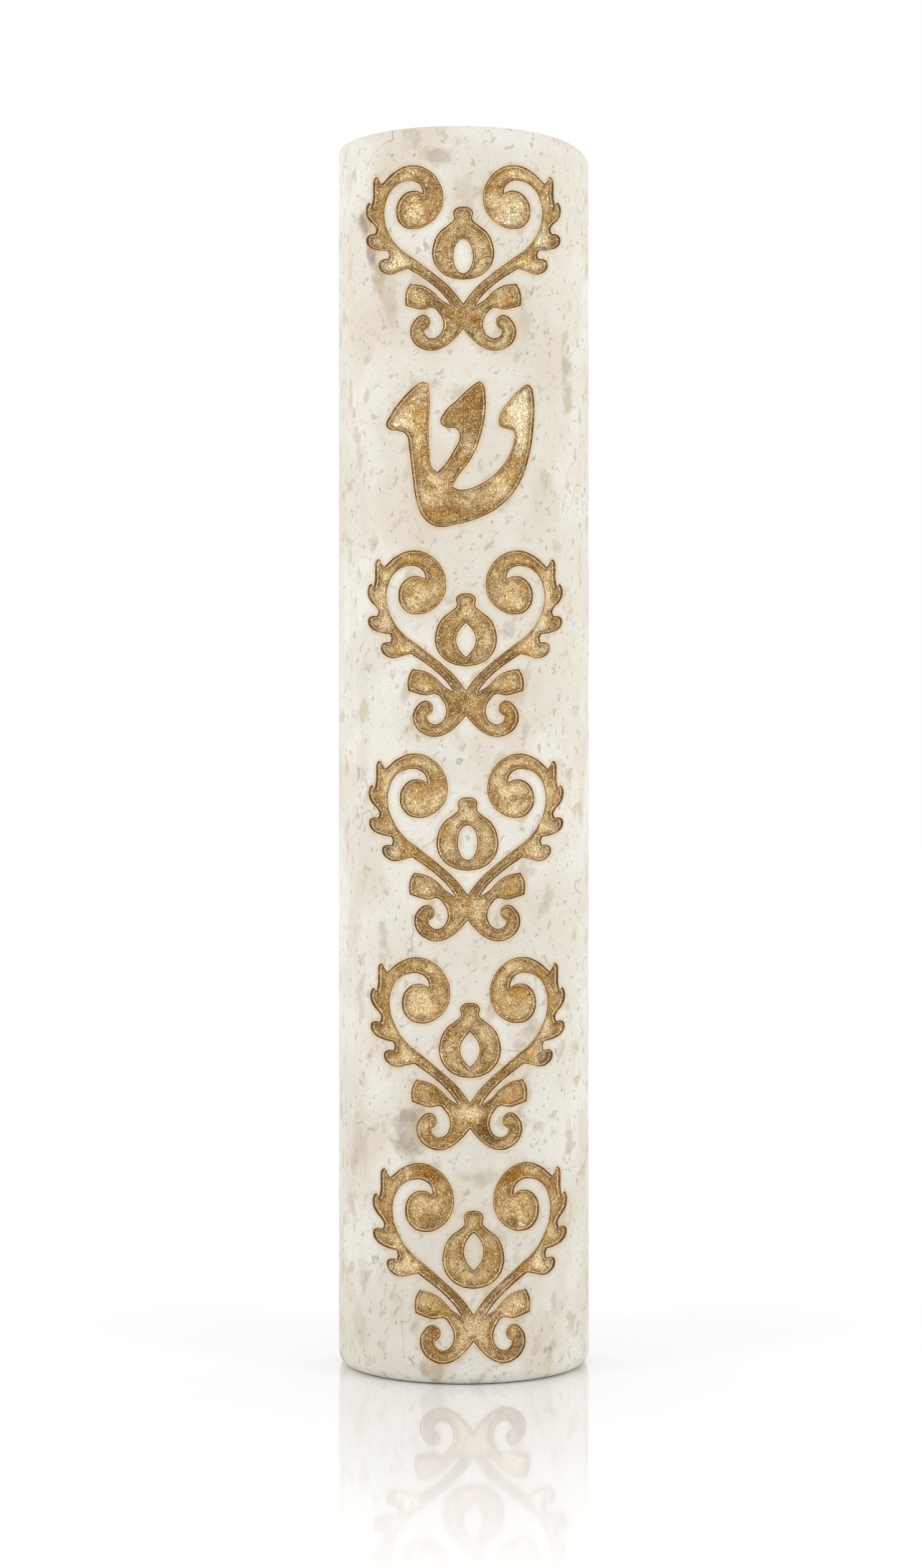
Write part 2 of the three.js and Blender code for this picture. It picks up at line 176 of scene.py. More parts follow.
def cut(piece, cutter, operation="DIFFERENCE"):
    """Cuts the piece with a closed cutter, which is then thrown away."""
    modify(piece, "BOOLEAN", object=cutter, operation=operation, solver="MANIFOLD")
    remove(cutter)
    return piece


def shade(piece, degrees):
    """Shades the piece smooth, but keeps the edges that are sharper than this angle."""
    pick(piece)
    bpy.ops.object.shade_smooth_by_angle(angle=math.radians(degrees))


def count(piece):
    return sum(len(p.vertices) - 2 for p in piece.data.polygons)


# %% [markdown]
# ## The ornament's outlines
# The mason laid one stencil on the stone again and again. Its outline is symmetric, so only the
# right half is drawn, as `[across, up]` in millimetres from the ornament's middle. Each list is one
# smooth line, and the outline turns a corner where two lines meet. A traced curve would need hundreds
# of points; a Bezier line with automatic handles needs only the few that give it its shape.

# %% Draw the scroll, the pomegranate and the letter
SCROLL_HALF = [
    # inner edge of the stem and of the volute's band, to the end of the gap beside the eye
    [(0, -5.8), (1.1, -4.35), (2.1, -3.3), (4.1, -1.65), (6.1, -0.15), (8.1, 1.3), (9.6, 3.1),
     (10.45, 5.1), (10.4, 6.9), (9.3, 8.75), (7.2, 9.6), (6.0, 9.4), (5.3, 8.8), (5.05, 7.95)],
    # round the eye and back along the outer edge of the band
    [(5.05, 7.95), (6.3, 8.35), (7.9, 7.8), (8.75, 6.1), (8.05, 4.3), (6.3, 3.6), (4.2, 4.15),
     (2.8, 5.65), (2.45, 7.4), (3.0, 9.3), (4.4, 10.8), (6.5, 11.5), (8.8, 11.0), (10.9, 9.65)],
    # first, second and third leaf
    [(10.9, 9.65), (11.3, 10.0), (11.75, 10.6), (12.3, 10.35), (12.45, 9.4), (12.45, 8.3), (12.7, 7.25)],
    [(12.7, 7.25), (13.2, 7.6), (13.7, 7.2), (13.8, 6.3), (13.2, 5.4), (12.3, 4.7), (11.9, 4.1),
     (12.1, 3.6)],
    [(12.1, 3.6), (13.0, 3.6), (13.65, 3.3), (13.7, 2.7), (13.1, 2.05), (11.6, 1.5), (10.0, 1.25)],
    # notch under the third leaf, then the fourth leaf
    [(10.0, 1.25), (9.8, 0.75), (9.9, 0.25)],
    [(9.9, 0.25), (10.7, 0.25), (11.35, -0.05), (11.4, -0.7), (10.7, -1.4), (9.4, -1.75),
     (8.2, -1.5), (7.0, -1.25)],
    # outer edge of the stem, down to the gap beside the bud
    [(7.0, -1.25), (5.1, -2.45), (3.3, -3.85), (2.2, -5.0), (1.5, -6.0)],
    # bud: upper edge, then broad end
    [(1.5, -6.0), (2.7, -5.25), (3.6, -4.35), (4.9, -3.5), (6.75, -3.1)],
    [(6.75, -3.1), (7.25, -3.9), (7.45, -4.8), (7.35, -5.8)],
    # from the bud's lower edge round the inside of the small curl
    [(7.35, -5.8), (6.2, -6.15), (5.0, -6.4), (3.7, -6.25), (3.0, -6.9), (2.5, -7.9), (2.55, -8.9),
     (3.15, -9.75), (4.0, -9.95), (4.75, -9.45), (4.85, -8.95)],
    # round the curl's tip and back along its outer edge
    [(4.85, -8.95), (4.25, -8.5), (4.1, -7.85), (4.4, -7.3), (5.15, -7.05), (6.2, -7.7), (6.75, -8.9),
     (6.4, -10.2), (5.3, -11.15), (3.7, -11.5), (2.1, -10.95), (0.9, -9.95), (0, -8.9)],
]
POMEGRANATE_HALF = [
    (0, -2.85), (1.5, -2.6), (2.9, -1.75), (3.75, -0.3), (3.75, 1.4), (2.95, 3.05), (1.75, 4.0),
    (1.15, 4.6), (1.2, 5.5), (0.75, 6.0), (0, 6.15),
]
SHIN = [
    # left arm's head, its outer side, round the foot and up the right arm's outer side
    [(-4.5, 8.75), (-5.3, 9.0), (-6.2, 8.6), (-8.2, 6.95), (-9.9, 5.05), (-10.45, 3.95), (-9.9, 3.4),
     (-8.4, 3.1), (-7.45, 2.55), (-7.1, 1.0), (-6.6, -2.8), (-6.0, -6.0), (-5.1, -7.8), (-3.4, -8.85),
     (-1.0, -8.6), (2.1, -7.65), (4.9, -5.9), (7.0, -3.4), (8.3, -0.2), (9.0, 3.6), (9.1, 6.8),
     (8.85, 8.35)],
    # right arm's head and its inner side down to the foot
    [(8.85, 8.35), (8.2, 8.85), (7.3, 8.4), (5.5, 6.6), (4.3, 4.7), (4.4, 3.55), (5.3, 3.25),
     (6.2, 2.9), (6.25, 2.0), (5.4, -0.3), (3.8, -2.3), (1.6, -3.8), (-0.6, -4.35), (-1.55, -3.95)],
    # up the middle arm's right side, round its head and down to the fork
    [(-1.55, -3.95), (-0.9, -2.8), (0.8, -0.5), (2.0, 2.4), (2.6, 5.8), (2.5, 8.2)],
    [(2.5, 8.2), (1.9, 8.95), (1.1, 8.55), (-0.9, 6.75), (-2.7, 4.95), (-3.0, 3.95), (-2.3, 3.35),
     (-1.0, 3.1), (-0.6, 2.3), (-1.4, 0.4), (-2.6, -1.4), (-3.4, -2.15)],
    # up the left arm's inner side
    [(-3.4, -2.15), (-4.1, -1.5), (-4.4, 0.6), (-4.5, 3.2), (-4.35, 6.6), (-4.5, 8.75)],
]
STEPS_BETWEEN_POINTS = 6
HOLE_POINTS = 24
HOLE_HALF_WIDTH, HOLE_HALF_HEIGHT = 1.2, 2.1


def mirrored(line):
    return [(-across, up) for across, up in reversed(line)]


def hole_line(middle, pointed):
    """The hole in a pomegranate: an ellipse at pointed = 0, two arcs that meet in points at 1."""
    line = []
    for step in range(HOLE_POINTS):
        angle = math.tau * step / HOLE_POINTS
        round_part = math.sin(angle)
        point_part = math.copysign(round_part**2, round_part)
        across = HOLE_HALF_WIDTH * ((1 - pointed) * round_part + pointed * point_part)
        line.append((across, middle + HOLE_HALF_HEIGHT * math.cos(angle)))
    return line


def as_mesh(curve):
    """Turns a curve into a piece made of edges."""
    piece = bpy.data.objects.new(curve.name, curve)
    bpy.context.scene.collection.objects.link(piece)
    pick(piece)
    bpy.ops.object.convert(target="MESH")
    return bpy.context.object


def wire(name, lines, cyclic=False):
    """Draws the lines as Bezier curves, turns them into edges and welds their ends together."""
    curve = bpy.data.curves.new(name, "CURVE")
    curve.dimensions = "3D"
    curve.resolution_u = STEPS_BETWEEN_POINTS
    for line in lines:
        spline = curve.splines.new("BEZIER")
        spline.bezier_points.add(len(line) - 1)
        spline.use_cyclic_u = cyclic
        for knot, (across, up) in zip(spline.bezier_points, line):
            knot.co = (across * mm, 0, up * mm)
            knot.handle_left_type = knot.handle_right_type = "AUTO"
    piece = as_mesh(curve)
    edit_all(piece)
    bpy.ops.mesh.remove_doubles(threshold=0.01 * mm)
    leave_edit_mode()
    return piece


scroll_wire = wire("scroll_wire", SCROLL_HALF + [mirrored(line) for line in reversed(SCROLL_HALF)])
shin_wire = wire("shin_wire", SHIN)
print("outline points:", len(scroll_wire.data.vertices), "and", len(shin_wire.data.vertices))

# %% [markdown]
# ## The gilded trays
# Each ornament is a shallow tray sunk in the stone: a floor, and walls that curve down to it from a
# crisp rim. It could be carved by sculpting, but the rim must follow the outline exactly. So a fine
# flat grid is cut with the outline, as dough is cut with a cutter, and then every point sinks by its
# distance from the rim. A quarter-round falloff gives the curved wall and the flat floor, and a soft
# noise makes the floor as uneven as hand work. The distance is also kept as an attribute, because
# the finish paints from it the dark line round the rim, which is partly the leaf's brown edge and
# partly painted shade, a band of painted shade down the wall and a thin painted highlight inside the
# rim. The sheet is thickened last, which closes it.

# %% Cut and sink a tray
GRID_STEP = 0.13 * mm
SINK = 0.5 * mm
WALL_RUN = 0.9 * mm
HALF_SLAB = 0.4 * mm
RIM_REACH = 1.0 * mm
UNEVEN = 0.3 * mm
WELD = 0.015 * mm
LEAF_THICKNESS = 0.05 * mm

unevenness = bpy.data.textures.new("unevenness", "CLOUDS")
unevenness.noise_scale = 2.2 * mm
unevenness.noise_depth = 2


def thicken(piece, depth):
    """Makes a sheet into a closed slab by drawing it backwards."""
    edit_all(piece)
    bpy.ops.mesh.extrude_region_move(TRANSFORM_OT_translate={"value": (0, depth, 0)})
    bpy.ops.mesh.select_all(action="SELECT")
    bpy.ops.mesh.normals_make_consistent(inside=False)
    leave_edit_mode()


def plate(outline, front, back, name):
    """Fills the wire's loops and gives them thickness from y = front to y = back."""
    piece = copy_of(outline, name)
    edit_all(piece)
    bpy.ops.mesh.fill(use_beauty=False)
    bpy.ops.transform.translate(value=(0, front, 0))
    thicken(piece, back - front)
    return piece


def fine_grid(outline, name):
    """An upright grid a little larger than the outline."""
    low = Vector([min(v.co[i] for v in outline.data.vertices) for i in range(3)])
    high = Vector([max(v.co[i] for v in outline.data.vertices) for i in range(3)])
    size = (high - low) + Vector((1, 1, 1)) * mm
    bpy.ops.mesh.primitive_grid_add(
        x_subdivisions=round(size.x / GRID_STEP), y_subdivisions=round(size.z / GRID_STEP), size=1,
        location=(low + high) / 2, rotation=(math.pi / 2, 0, 0),
    )
    bpy.context.object.scale = (size.x, size.z, 1)
    return new_piece(bpy.context.object, name)


def near(piece, group, target, reach, falloff):
    """Weighs each point from 0 on the target's edges to 1 at this reach."""
    piece.vertex_groups.new(name=group).add(range(len(piece.data.vertices)), 1, "REPLACE")
    modify(
        piece, "VERTEX_WEIGHT_PROXIMITY", vertex_group=group, target=target,
        proximity_mode="GEOMETRY", proximity_geometry={"EDGE"}, min_dist=0, max_dist=reach,
        falloff_type=falloff,
    )


def keep_as_attribute(piece, group):
    """Turns a vertex group into an attribute that a material can read."""
    index = piece.vertex_groups[group].index
    weights = [sum(g.weight for g in v.groups if g.group == index) for v in piece.data.vertices]
    piece.vertex_groups.remove(piece.vertex_groups[group])
    piece.data.attributes.new(group, "FLOAT", "POINT").data.foreach_set("value", weights)


def ripple(piece, texture, strength, **settings):
    """Moves the surface to and fro by a texture, half each way."""
    modify(
        piece, "DISPLACE", strength=strength, mid_level=0.5, texture=texture, texture_coords="LOCAL",
        **settings,
    )


def tray(outline, name):
    """The gilded lining for one outline, still flat, with its rim on y = 0 and its floor behind."""
    piece = fine_grid(outline, name)
    thicken(piece, HALF_SLAB)
    cut(piece, plate(outline, -mm, mm, "cutter"), "INTERSECT")
    edit(piece, "FACE")
    select(piece, piece.data.polygons, lambda f: f.normal.y > -0.5)
    bpy.ops.mesh.delete(type="FACE")
    bpy.ops.mesh.select_mode(type="VERT")
    bpy.ops.mesh.select_all(action="SELECT")
    bpy.ops.mesh.remove_doubles(threshold=WELD)
    leave_edit_mode()
    near(piece, "sunk", outline, WALL_RUN, "ICON_SPHERECURVE")
    near(piece, "rim", outline, RIM_REACH, "LINEAR")
    modify(piece, "DISPLACE", direction="Y", strength=SINK, mid_level=0, vertex_group="sunk")
    ripple(piece, unevenness, UNEVEN, direction="Y", vertex_group="sunk")
    piece.vertex_groups.remove(piece.vertex_groups["sunk"])
    keep_as_attribute(piece, "rim")
    thicken(piece, LEAF_THICKNESS)
    return piece


scroll_tray = tray(scroll_wire, "scroll_tray")
shin_tray = tray(shin_wire, "shin_tray")
print("scroll tray:", count(scroll_tray), "triangles, letter tray:", count(shin_tray))

# %% [markdown]
# ## Bending round the column
# The stencil was paper-thin and lay round the column, so a distance across it is a length of arc.
# Simple Deform bends a flat piece in the same way. Its angle is that of the whole piece, so it is the
# piece's width divided by the column's radius. The bend leaves the column's front on y = 0, and a
# move then puts it on the stone.

# %% Wrap a flat piece round the column
def width_of(piece):
    across = [v.co.x for v in piece.data.vertices]
    return max(across) - min(across)


def placed(flat_piece, name, middle, stretch, drift):
    """A copy of a flat piece at its height on the column, bent round it."""
    piece = pick(copy_of(flat_piece, name))
    piece.scale.z = stretch
    piece.location = (drift * mm, 0, middle * mm)
    bpy.ops.object.transform_apply(location=True, scale=True)
    angle = width_of(piece) / radius
    modify(piece, "SIMPLE_DEFORM", deform_method="BEND", deform_axis="Z", angle=angle)
    piece.location.y = stone_low.y
    bpy.ops.object.transform_apply(location=True)
    return piece


# %% [markdown]
# ## Five ornaments and one letter
# The stencil slipped a little to the right from ornament to ornament, and the two lowest are a
# little taller. Each pomegranate has a hole in its heart where the bare stone shows, and no two holes
# are alike. So each pomegranate's tray is cut on its own, from an outline of two loops.

# %% Place the gilded trays
# height of the middle, stretch in height, drift to the right, place and pointedness of the hole
ORNAMENTS = [
    (138.8, 1.0, -0.1, 0.05, 0.0),
    (91.3, 1.0, 0.25, 0.4, 1.0),
    (66.2, 1.005, 0.45, 0.6, 0.0),
    (40.8, 1.03, 0.75, 0.55, 1.0),
    (15.0, 1.07, 1.2, 1.45, 0.7),
]
SHIN_PLACE = (114.5, 1.0, 0.1)

gilding = []
rims = []
cutters = []


def gild(lining, outline, kind, number, place):
    """Puts a gilded tray on the column, and keeps its rim and its outline for the stone."""
    leaf = placed(lining, f"{kind}_leaf{number}", *place)
    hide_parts(f"{kind}_gilding{number}")
    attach(leaf, "case")
    pick(leaf)
    bpy.ops.object.shade_smooth()
    gilding.append(leaf)
    rims.append(placed(outline, "rim", *place))
    cutters.append((outline, place))


for number, (middle, stretch, drift, hole_middle, hole_pointed) in enumerate(ORNAMENTS, 1):
    fruit_wire = wire("fruit_wire", [POMEGRANATE_HALF, mirrored(POMEGRANATE_HALF)])
    hole_wire = wire("hole_wire", [hole_line(hole_middle, hole_pointed)], cyclic=True)
    fruit_wire = join([fruit_wire, hole_wire], "fruit_wire")
    fruit_tray = tray(fruit_wire, "fruit_tray")
    gild(scroll_tray, scroll_wire, "scroll", f"_{number}", (middle, stretch, drift))
    gild(fruit_tray, fruit_wire, "pomegranate", f"_{number}", (middle, stretch, drift))
    remove(fruit_tray)
gild(shin_tray, shin_wire, "shin", "", SHIN_PLACE)
remove(scroll_tray, shin_tray)
print(len(gilding), "gilded pieces,", sum(count(leaf) for leaf in gilding), "triangles")

# %% [markdown]
# ## The column of stone
# The column starts as a circle whose back half is taken away. Its ends run straight back to form the
# flanks, the outline is closed and filled, and the face is drawn up to the full height. The mason
# then eased the edges with a rubbing stone: the base evenly, and the top more on the right than on
# the left. A Bevel modifier that reads a weight from each edge gives that.

# %% Draw up the column
COLUMN_SIDES = 256
TOP_EDGE_LEFT = 0.5 * mm
TOP_EDGE_RIGHT = 2.6 * mm
BASE_EDGE = 1.7 * mm
BACK_CORNER = 0.5 * mm
TINY = 0.001 * mm

bpy.ops.mesh.primitive_circle_add(
    vertices=COLUMN_SIDES, radius=radius, fill_type="NOTHING", location=(0, axis_y, stone_low.z),
)
stone = new_piece(bpy.context.object, "limestone_body")
edit(stone)
select(stone, stone.data.vertices, lambda v: v.co.y > axis_y + TINY)
bpy.ops.mesh.delete(type="VERT")
leave_edit_mode()
edit(stone)
select(stone, stone.data.vertices, lambda v: v.co.y > axis_y - TINY)
bpy.ops.mesh.extrude_vertices_move(
    TRANSFORM_OT_translate={"value": (0, back_y - BACK_CORNER - axis_y, 0)},
)
bpy.ops.mesh.extrude_vertices_move(TRANSFORM_OT_translate={"value": (0, BACK_CORNER, 0)})
bpy.ops.transform.resize(
    value=((radius - BACK_CORNER) / radius, 1, 1), center_override=(0, back_y, stone_low.z),
)
bpy.ops.mesh.select_all(action="SELECT")
bpy.ops.mesh.edge_face_add()
bpy.ops.mesh.extrude_region_move(TRANSFORM_OT_translate={"value": (0, 0, height)})
bpy.ops.mesh.select_all(action="SELECT")
bpy.ops.mesh.normals_make_consistent(inside=False)
leave_edit_mode()


def ease_rim(piece, z, left, right):
    """Rounds the edges of the end at this height, with a radius for the left and one for the right."""
    weights = []
    for edge in piece.data.edges:
        low, high = ends(piece, edge)
        share = (((low.x + high.x) / 2 + radius) / (2 * radius)) ** 3
        on_rim = abs(low.z - z) < TINY and abs(high.z - z) < TINY
        weights.append((left + (right - left) * share) / max(left, right) if on_rim else 0.0)
    piece.data.attributes.new("bevel_weight_edge", "FLOAT", "EDGE").data.foreach_set("value", weights)
    modify(
        piece, "BEVEL", width=max(left, right), segments=9, limit_method="WEIGHT",
        use_clamp_overlap=False,
    )
    piece.data.attributes.remove(piece.data.attributes["bevel_weight_edge"])


ease_rim(stone, stone_high.z, TOP_EDGE_LEFT, TOP_EDGE_RIGHT)
ease_rim(stone, stone_low.z, BASE_EDGE, BASE_EDGE)
print("column:", count(stone), "triangles")

# %% [markdown]
# ## Rings round the column
# The gilding leaves a faint stain on the stone beside it. The stain's strength could be painted on a
# picture, but it is kept on the points of the mesh, so that it follows the outlines by itself. The
# wall is one tall face to a side, so it is first cut into low rings that give it enough points.

# %% Cut the wall into low rings
def rises(edge, least):
    """True for an upright edge of the round front or a flank that is at least this tall."""
    low, high = sorted(ends(stone, edge), key=lambda end: end.z)
    return high.z - low.z > least and low.y < back_y - BACK_CORNER - TINY


for cuts, least in ((3, height / 2), (90, height / 8)):
    divide(stone, cuts, lambda e: rises(e, least))
print("column with rings:", count(stone), "triangles")

# %% [markdown]
# ## Sinking the ornaments into the column
# Each pocket is cut with the same outline as its gilded tray. A flat plate bent round the column
# would have straight chords inside it, so it is first sliced into narrow strips by bisecting.

# %% Cut the pockets
POCKET_DEPTH = 0.95 * mm
STRIP = 1.3 * mm


def pocket_cutter(outline, place):
    piece = plate(outline, -mm, POCKET_DEPTH, "pocket")
    half = width_of(piece) / 2
    edit(piece)
    bpy.ops.object.mode_set(mode="EDIT")
    for step in range(int(-half / STRIP), int(half / STRIP) + 1):
        bpy.ops.mesh.select_all(action="SELECT")
        bpy.ops.mesh.bisect(plane_co=(step * STRIP + TINY, 0, 0), plane_no=(1, 0, 0))
    leave_edit_mode()
    bent = placed(piece, "pocket", *place)
    remove(piece)
    return bent


cut(stone, join([pocket_cutter(*cutter) for cutter in cutters], "pockets"))
for outline, place in cutters:
    if outline.name.startswith("fruit_wire"):
        remove(outline)
print("stone with its pockets:", count(stone), "triangles")

# %% [markdown]
# ## The slot in the back
# The back has a round-ended slot for the scroll, a shallow step round it where the cover rests, and
# a scoop at the lower end that lets a thumbnail lift the cover. Each could be drawn on its own, but
# all are flat plates with rounded corners, and bevelling the corners of a rectangle by half its width
# even makes a round-ended plate. So one helper draws them all, and each is then cut away.

# %% Define a plate with rounded corners
def rounded_plate(name, half_width, low, high, corner, front, back, side=0):
    """A plate from y = front to y = back, between two heights, round its middle line x = side."""
    bpy.ops.mesh.primitive_plane_add(
        size=1, location=(side, front, (low + high) / 2), rotation=(math.pi / 2, 0, 0),
    )
    bpy.context.object.scale = (2 * half_width, high - low, 1)
    piece = new_piece(bpy.context.object, name)
    edit_all(piece)
    bpy.ops.mesh.bevel(offset=corner, segments=20, affect="VERTICES", clamp_overlap=False)
    bpy.ops.mesh.select_all(action="SELECT")
    bpy.ops.mesh.remove_doubles(threshold=TINY)
    thicken(piece, back - front)
    return piece


# %% Cut the slot, the step and the thumb scoop
SLOT_RADIUS = 7 * mm
SLOT_LOW = 11 * mm
SLOT_HIGH = 144 * mm
SLOT_FLOOR = back_y - 14.5 * mm
LEDGE = 3 * mm
STEP_Y = back_y - 2 * mm
STEP_CORNER = 3 * mm
SCOOP_RADIUS = 5 * mm
SCOOP_FLOOR = back_y - 4.6 * mm
BEYOND = back_y + mm
SOAK_REACH = 1.2 * mm

cut(stone, rounded_plate("slot", SLOT_RADIUS, SLOT_LOW, SLOT_HIGH, SLOT_RADIUS, SLOT_FLOOR, BEYOND))
cut(
    stone,
    rounded_plate(
        "step", SLOT_RADIUS + LEDGE, SLOT_LOW - LEDGE, SLOT_HIGH + LEDGE, STEP_CORNER, STEP_Y, BEYOND,
    ),
)
SCOOP_Z = SLOT_LOW - LEDGE
cut(
    stone,
    rounded_plate(
        "scoop", SCOOP_RADIUS, SCOOP_Z - SCOOP_RADIUS, SCOOP_Z + SCOOP_RADIUS, SCOOP_RADIUS,
        SCOOP_FLOOR, BEYOND,
    ),
)
near(stone, "beside_gold", join(rims, "rims"), SOAK_REACH, "LINEAR")
keep_as_attribute(stone, "beside_gold")
remove(rims[0], scroll_wire, shin_wire)
shade(stone, 30)
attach(stone, "case")
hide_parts("stone_body")
print("finished stone:", count(stone), "triangles")

# %% [markdown]
# ## The cover
# The cover is a thin moulded plate that drops into the step, with a low lip inside that grips the
# sides of the slot. Plate and lip are one moulding, so they are joined by a boolean, and a small
# bevel gives the soft edges that a mould leaves.

# %% Mould the cover
cover_low, cover_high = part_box("back_cover")
PLATE_THICKNESS = 1.6 * mm
LIP_GAP = 0.2 * mm
LIP_WALL = 1.0 * mm
PLATE_Y = cover_high.y - PLATE_THICKNESS

cover = rounded_plate(
    "cover_plate", cover_high.x, cover_low.z, cover_high.z, STEP_CORNER - LIP_GAP, PLATE_Y, cover_high.y,
)
lip = rounded_plate(
    "lip", SLOT_RADIUS - LIP_GAP, SLOT_LOW + LIP_GAP, SLOT_HIGH - LIP_GAP, SLOT_RADIUS - LIP_GAP,
    cover_low.y, PLATE_Y + 0.4 * mm,
)
inside = LIP_GAP + LIP_WALL
cut(
    lip,
    rounded_plate(
        "inside", SLOT_RADIUS - inside, SLOT_LOW + inside, SLOT_HIGH - inside, SLOT_RADIUS - inside,
        cover_low.y - mm, PLATE_Y,
    ),
)
cut(cover, lip, "UNION")
modify(cover, "BEVEL", width=0.25 * mm, segments=3, limit_method="ANGLE", angle_limit=math.radians(40))
shade(cover, 35)
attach(cover, "back_cover")
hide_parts("back_cover")
print("cover:", count(cover), "triangles")

# %% [markdown]
# ## The rolled parchment
# The scroll is one long strip of parchment rolled up from its end. Seen from above it is a spiral,
# so a spiral wire is drawn as a curve, drawn up to the height of the strip, and given the
# thickness of the skin. A faint waviness keeps the sheet from looking like sheet metal.

# %% Roll the parchment
roll_low, roll_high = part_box("parchment_scroll")
film_low, film_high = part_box("film_sleeve")
roll_y = (film_low.y + film_high.y) / 2
CORE_RADIUS = 2 * mm
PITCH = 0.6 * mm
TURNS = 4.75
SKIN = 0.3 * mm
STEPS_PER_TURN = 40
ROLL_RINGS = 60
WAVE = 0.12 * mm
ROLL_START = CORE_RADIUS + 0.05 * mm

spiral = bpy.data.curves.new("parchment_roll", "CURVE")
spiral.dimensions = "3D"
spiral_line = spiral.splines.new("POLY")
spiral_steps = round(TURNS * STEPS_PER_TURN)
spiral_line.points.add(spiral_steps)
for step, point in enumerate(spiral_line.points):
    turn = step / STEPS_PER_TURN
    from_axis = ROLL_START + turn * PITCH
    angle = math.tau * turn
    point.co = (from_axis * math.cos(angle), roll_y + from_axis * math.sin(angle), roll_low.z, 1)
roll = as_mesh(spiral)
edit_all(roll)
bpy.ops.mesh.extrude_region_move(
    TRANSFORM_OT_translate={"value": (0, 0, roll_high.z - roll_low.z)},
)
leave_edit_mode()
divide(roll, ROLL_RINGS, lambda e: run(roll, e, UP) > mm)
waviness = bpy.data.textures.new("waviness", "CLOUDS")
waviness.noise_scale = 9 * mm
ripple(roll, waviness, WAVE, direction="NORMAL")
modify(roll, "SOLIDIFY", thickness=SKIN, offset=1)
shade(roll, 40)
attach(roll, "scroll")
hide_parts("parchment_scroll")
print("parchment roll:", count(roll), "triangles")

# %% [markdown]
# ## The film sleeve
# The roll is slipped into a tube of clear film that keeps it dry. The tube is a cylinder without
# ends. Film never lies smooth, so a stretched noise crumples it lengthways before Solidify gives it
# a wall.

# %% Crumple the film sleeve
FILM = 0.08 * mm
FILM_RINGS = 90
FILM_INSET = 0.14 * mm
CREASE = 0.16 * mm
film_radius = (film_high.x - film_low.x) / 2 - FILM_INSET
bpy.ops.mesh.primitive_cylinder_add(
    vertices=120, radius=film_radius, depth=film_high.z - film_low.z,
    end_fill_type="NOTHING", location=(0, roll_y, (film_low.z + film_high.z) / 2),
)
sleeve = new_piece(bpy.context.object, "clear_film_sleeve")
divide(sleeve, FILM_RINGS, lambda e: run(sleeve, e, UP) > mm)
crumple = bpy.data.textures.new("crumple", "VORONOI")
crumple.noise_scale = 5 * mm
crumple.weight_2 = 0
ripple(sleeve, crumple, CREASE, direction="NORMAL")
modify(sleeve, "SOLIDIFY", thickness=FILM, offset=0)
shade(sleeve, 40)
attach(sleeve, "scroll")
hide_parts("film_sleeve")
print("film sleeve:", count(sleeve), "triangles")

# %% [markdown]
# ## The foam strips
# Two strips of self-adhesive foam hold the case to the post. Foam tape is stiff and flat, so it
# needs no cloth simulation: each strip is a plate whose sides belly out a little where the die cut
# it, with the paper liner's flat face outside.

# %% Cut the foam strips
FOAM_INSET = 0.06 * mm
FOAM_CORNER = 1.0 * mm
FOAM_BELLY = 0.05 * mm
FOAM_RINGS = 3


def foam_strip(side_name):
    low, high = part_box(f"foam_strip_{side_name}")
    strip = rounded_plate(
        f"foam_tape_{side_name}", (high.x - low.x) / 2 - FOAM_INSET, low.z + FOAM_INSET,
        high.z - FOAM_INSET, FOAM_CORNER, low.y, high.y, side=(low.x + high.x) / 2,
    )
    divide(strip, FOAM_RINGS, lambda e: run(strip, e, BACKWARDS) > 0.5 * mm)
    edit(strip)
    middle = (low.y + high.y) / 2
    select(strip, strip.data.vertices, lambda v: abs(v.co.y - middle) < 0.3 * mm)
    bpy.ops.transform.shrink_fatten(value=FOAM_BELLY)
    leave_edit_mode()
    shade(strip, 40)
    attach(strip, "case")
    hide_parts(f"foam_strip_{side_name}")
    return strip


foam = [foam_strip("left"), foam_strip("right")]
print("foam strips:", [count(strip) for strip in foam], "triangles")

# %% [markdown]
# ## Effects that several finishes share
# Stone, gold leaf, parchment, plastic and foam all vary in the same few ways: soft clouds of another
# tone, small flecks, thin wandering lines and ragged patches. Each effect is a node group with named
# inputs, so that it is built once and each finish sets its own sizes. Sizes are in millimetres of
# the real surface, because the Object coordinates are scaled by a thousand first.

# %% Node helpers
def add(tree, kind, inputs=(), **settings):
    """Adds a node, sets its options, and links or sets its inputs."""
    made = tree.nodes.new("ShaderNode" + kind)
    for key, value in settings.items():
        setattr(made, key, value)
    for key, value in dict(inputs).items():
        if isinstance(value, bpy.types.NodeSocket):
            tree.links.new(value, made.inputs[key])
        else:
            made.inputs[key].default_value = value
    return made


def maths(tree, operation, first, second=0.0):
    return add(tree, "Math", {0: first, 1: second}, operation=operation).outputs[0]


def times(tree, first, second):
    return maths(tree, "MULTIPLY", first, second)


def smooth_step(tree, value, low, high, start=0.0, end=1.0):
    """Goes from start to end as the value goes from low to high."""
    inputs = {"Value": value, "From Min": low, "From Max": high, "To Min": start, "To Max": end}
    return add(tree, "MapRange", inputs, interpolation_type="SMOOTHSTEP").outputs[0]


def effect(name, inputs):
    """A new node group with these inputs and one Mask output."""
    tree = bpy.data.node_groups.new(name, "ShaderNodeTree")
    for socket_name, default in inputs.items():
        kind = "NodeSocketVector" if isinstance(default, tuple) else "NodeSocketFloat"
        socket = tree.interface.new_socket(name=socket_name, in_out="INPUT", socket_type=kind)
        socket.default_value = default
    tree.interface.new_socket(name="Mask", in_out="OUTPUT", socket_type="NodeSocketFloat")
    return tree, tree.nodes.new("NodeGroupInput").outputs, tree.nodes.new("NodeGroupOutput").inputs


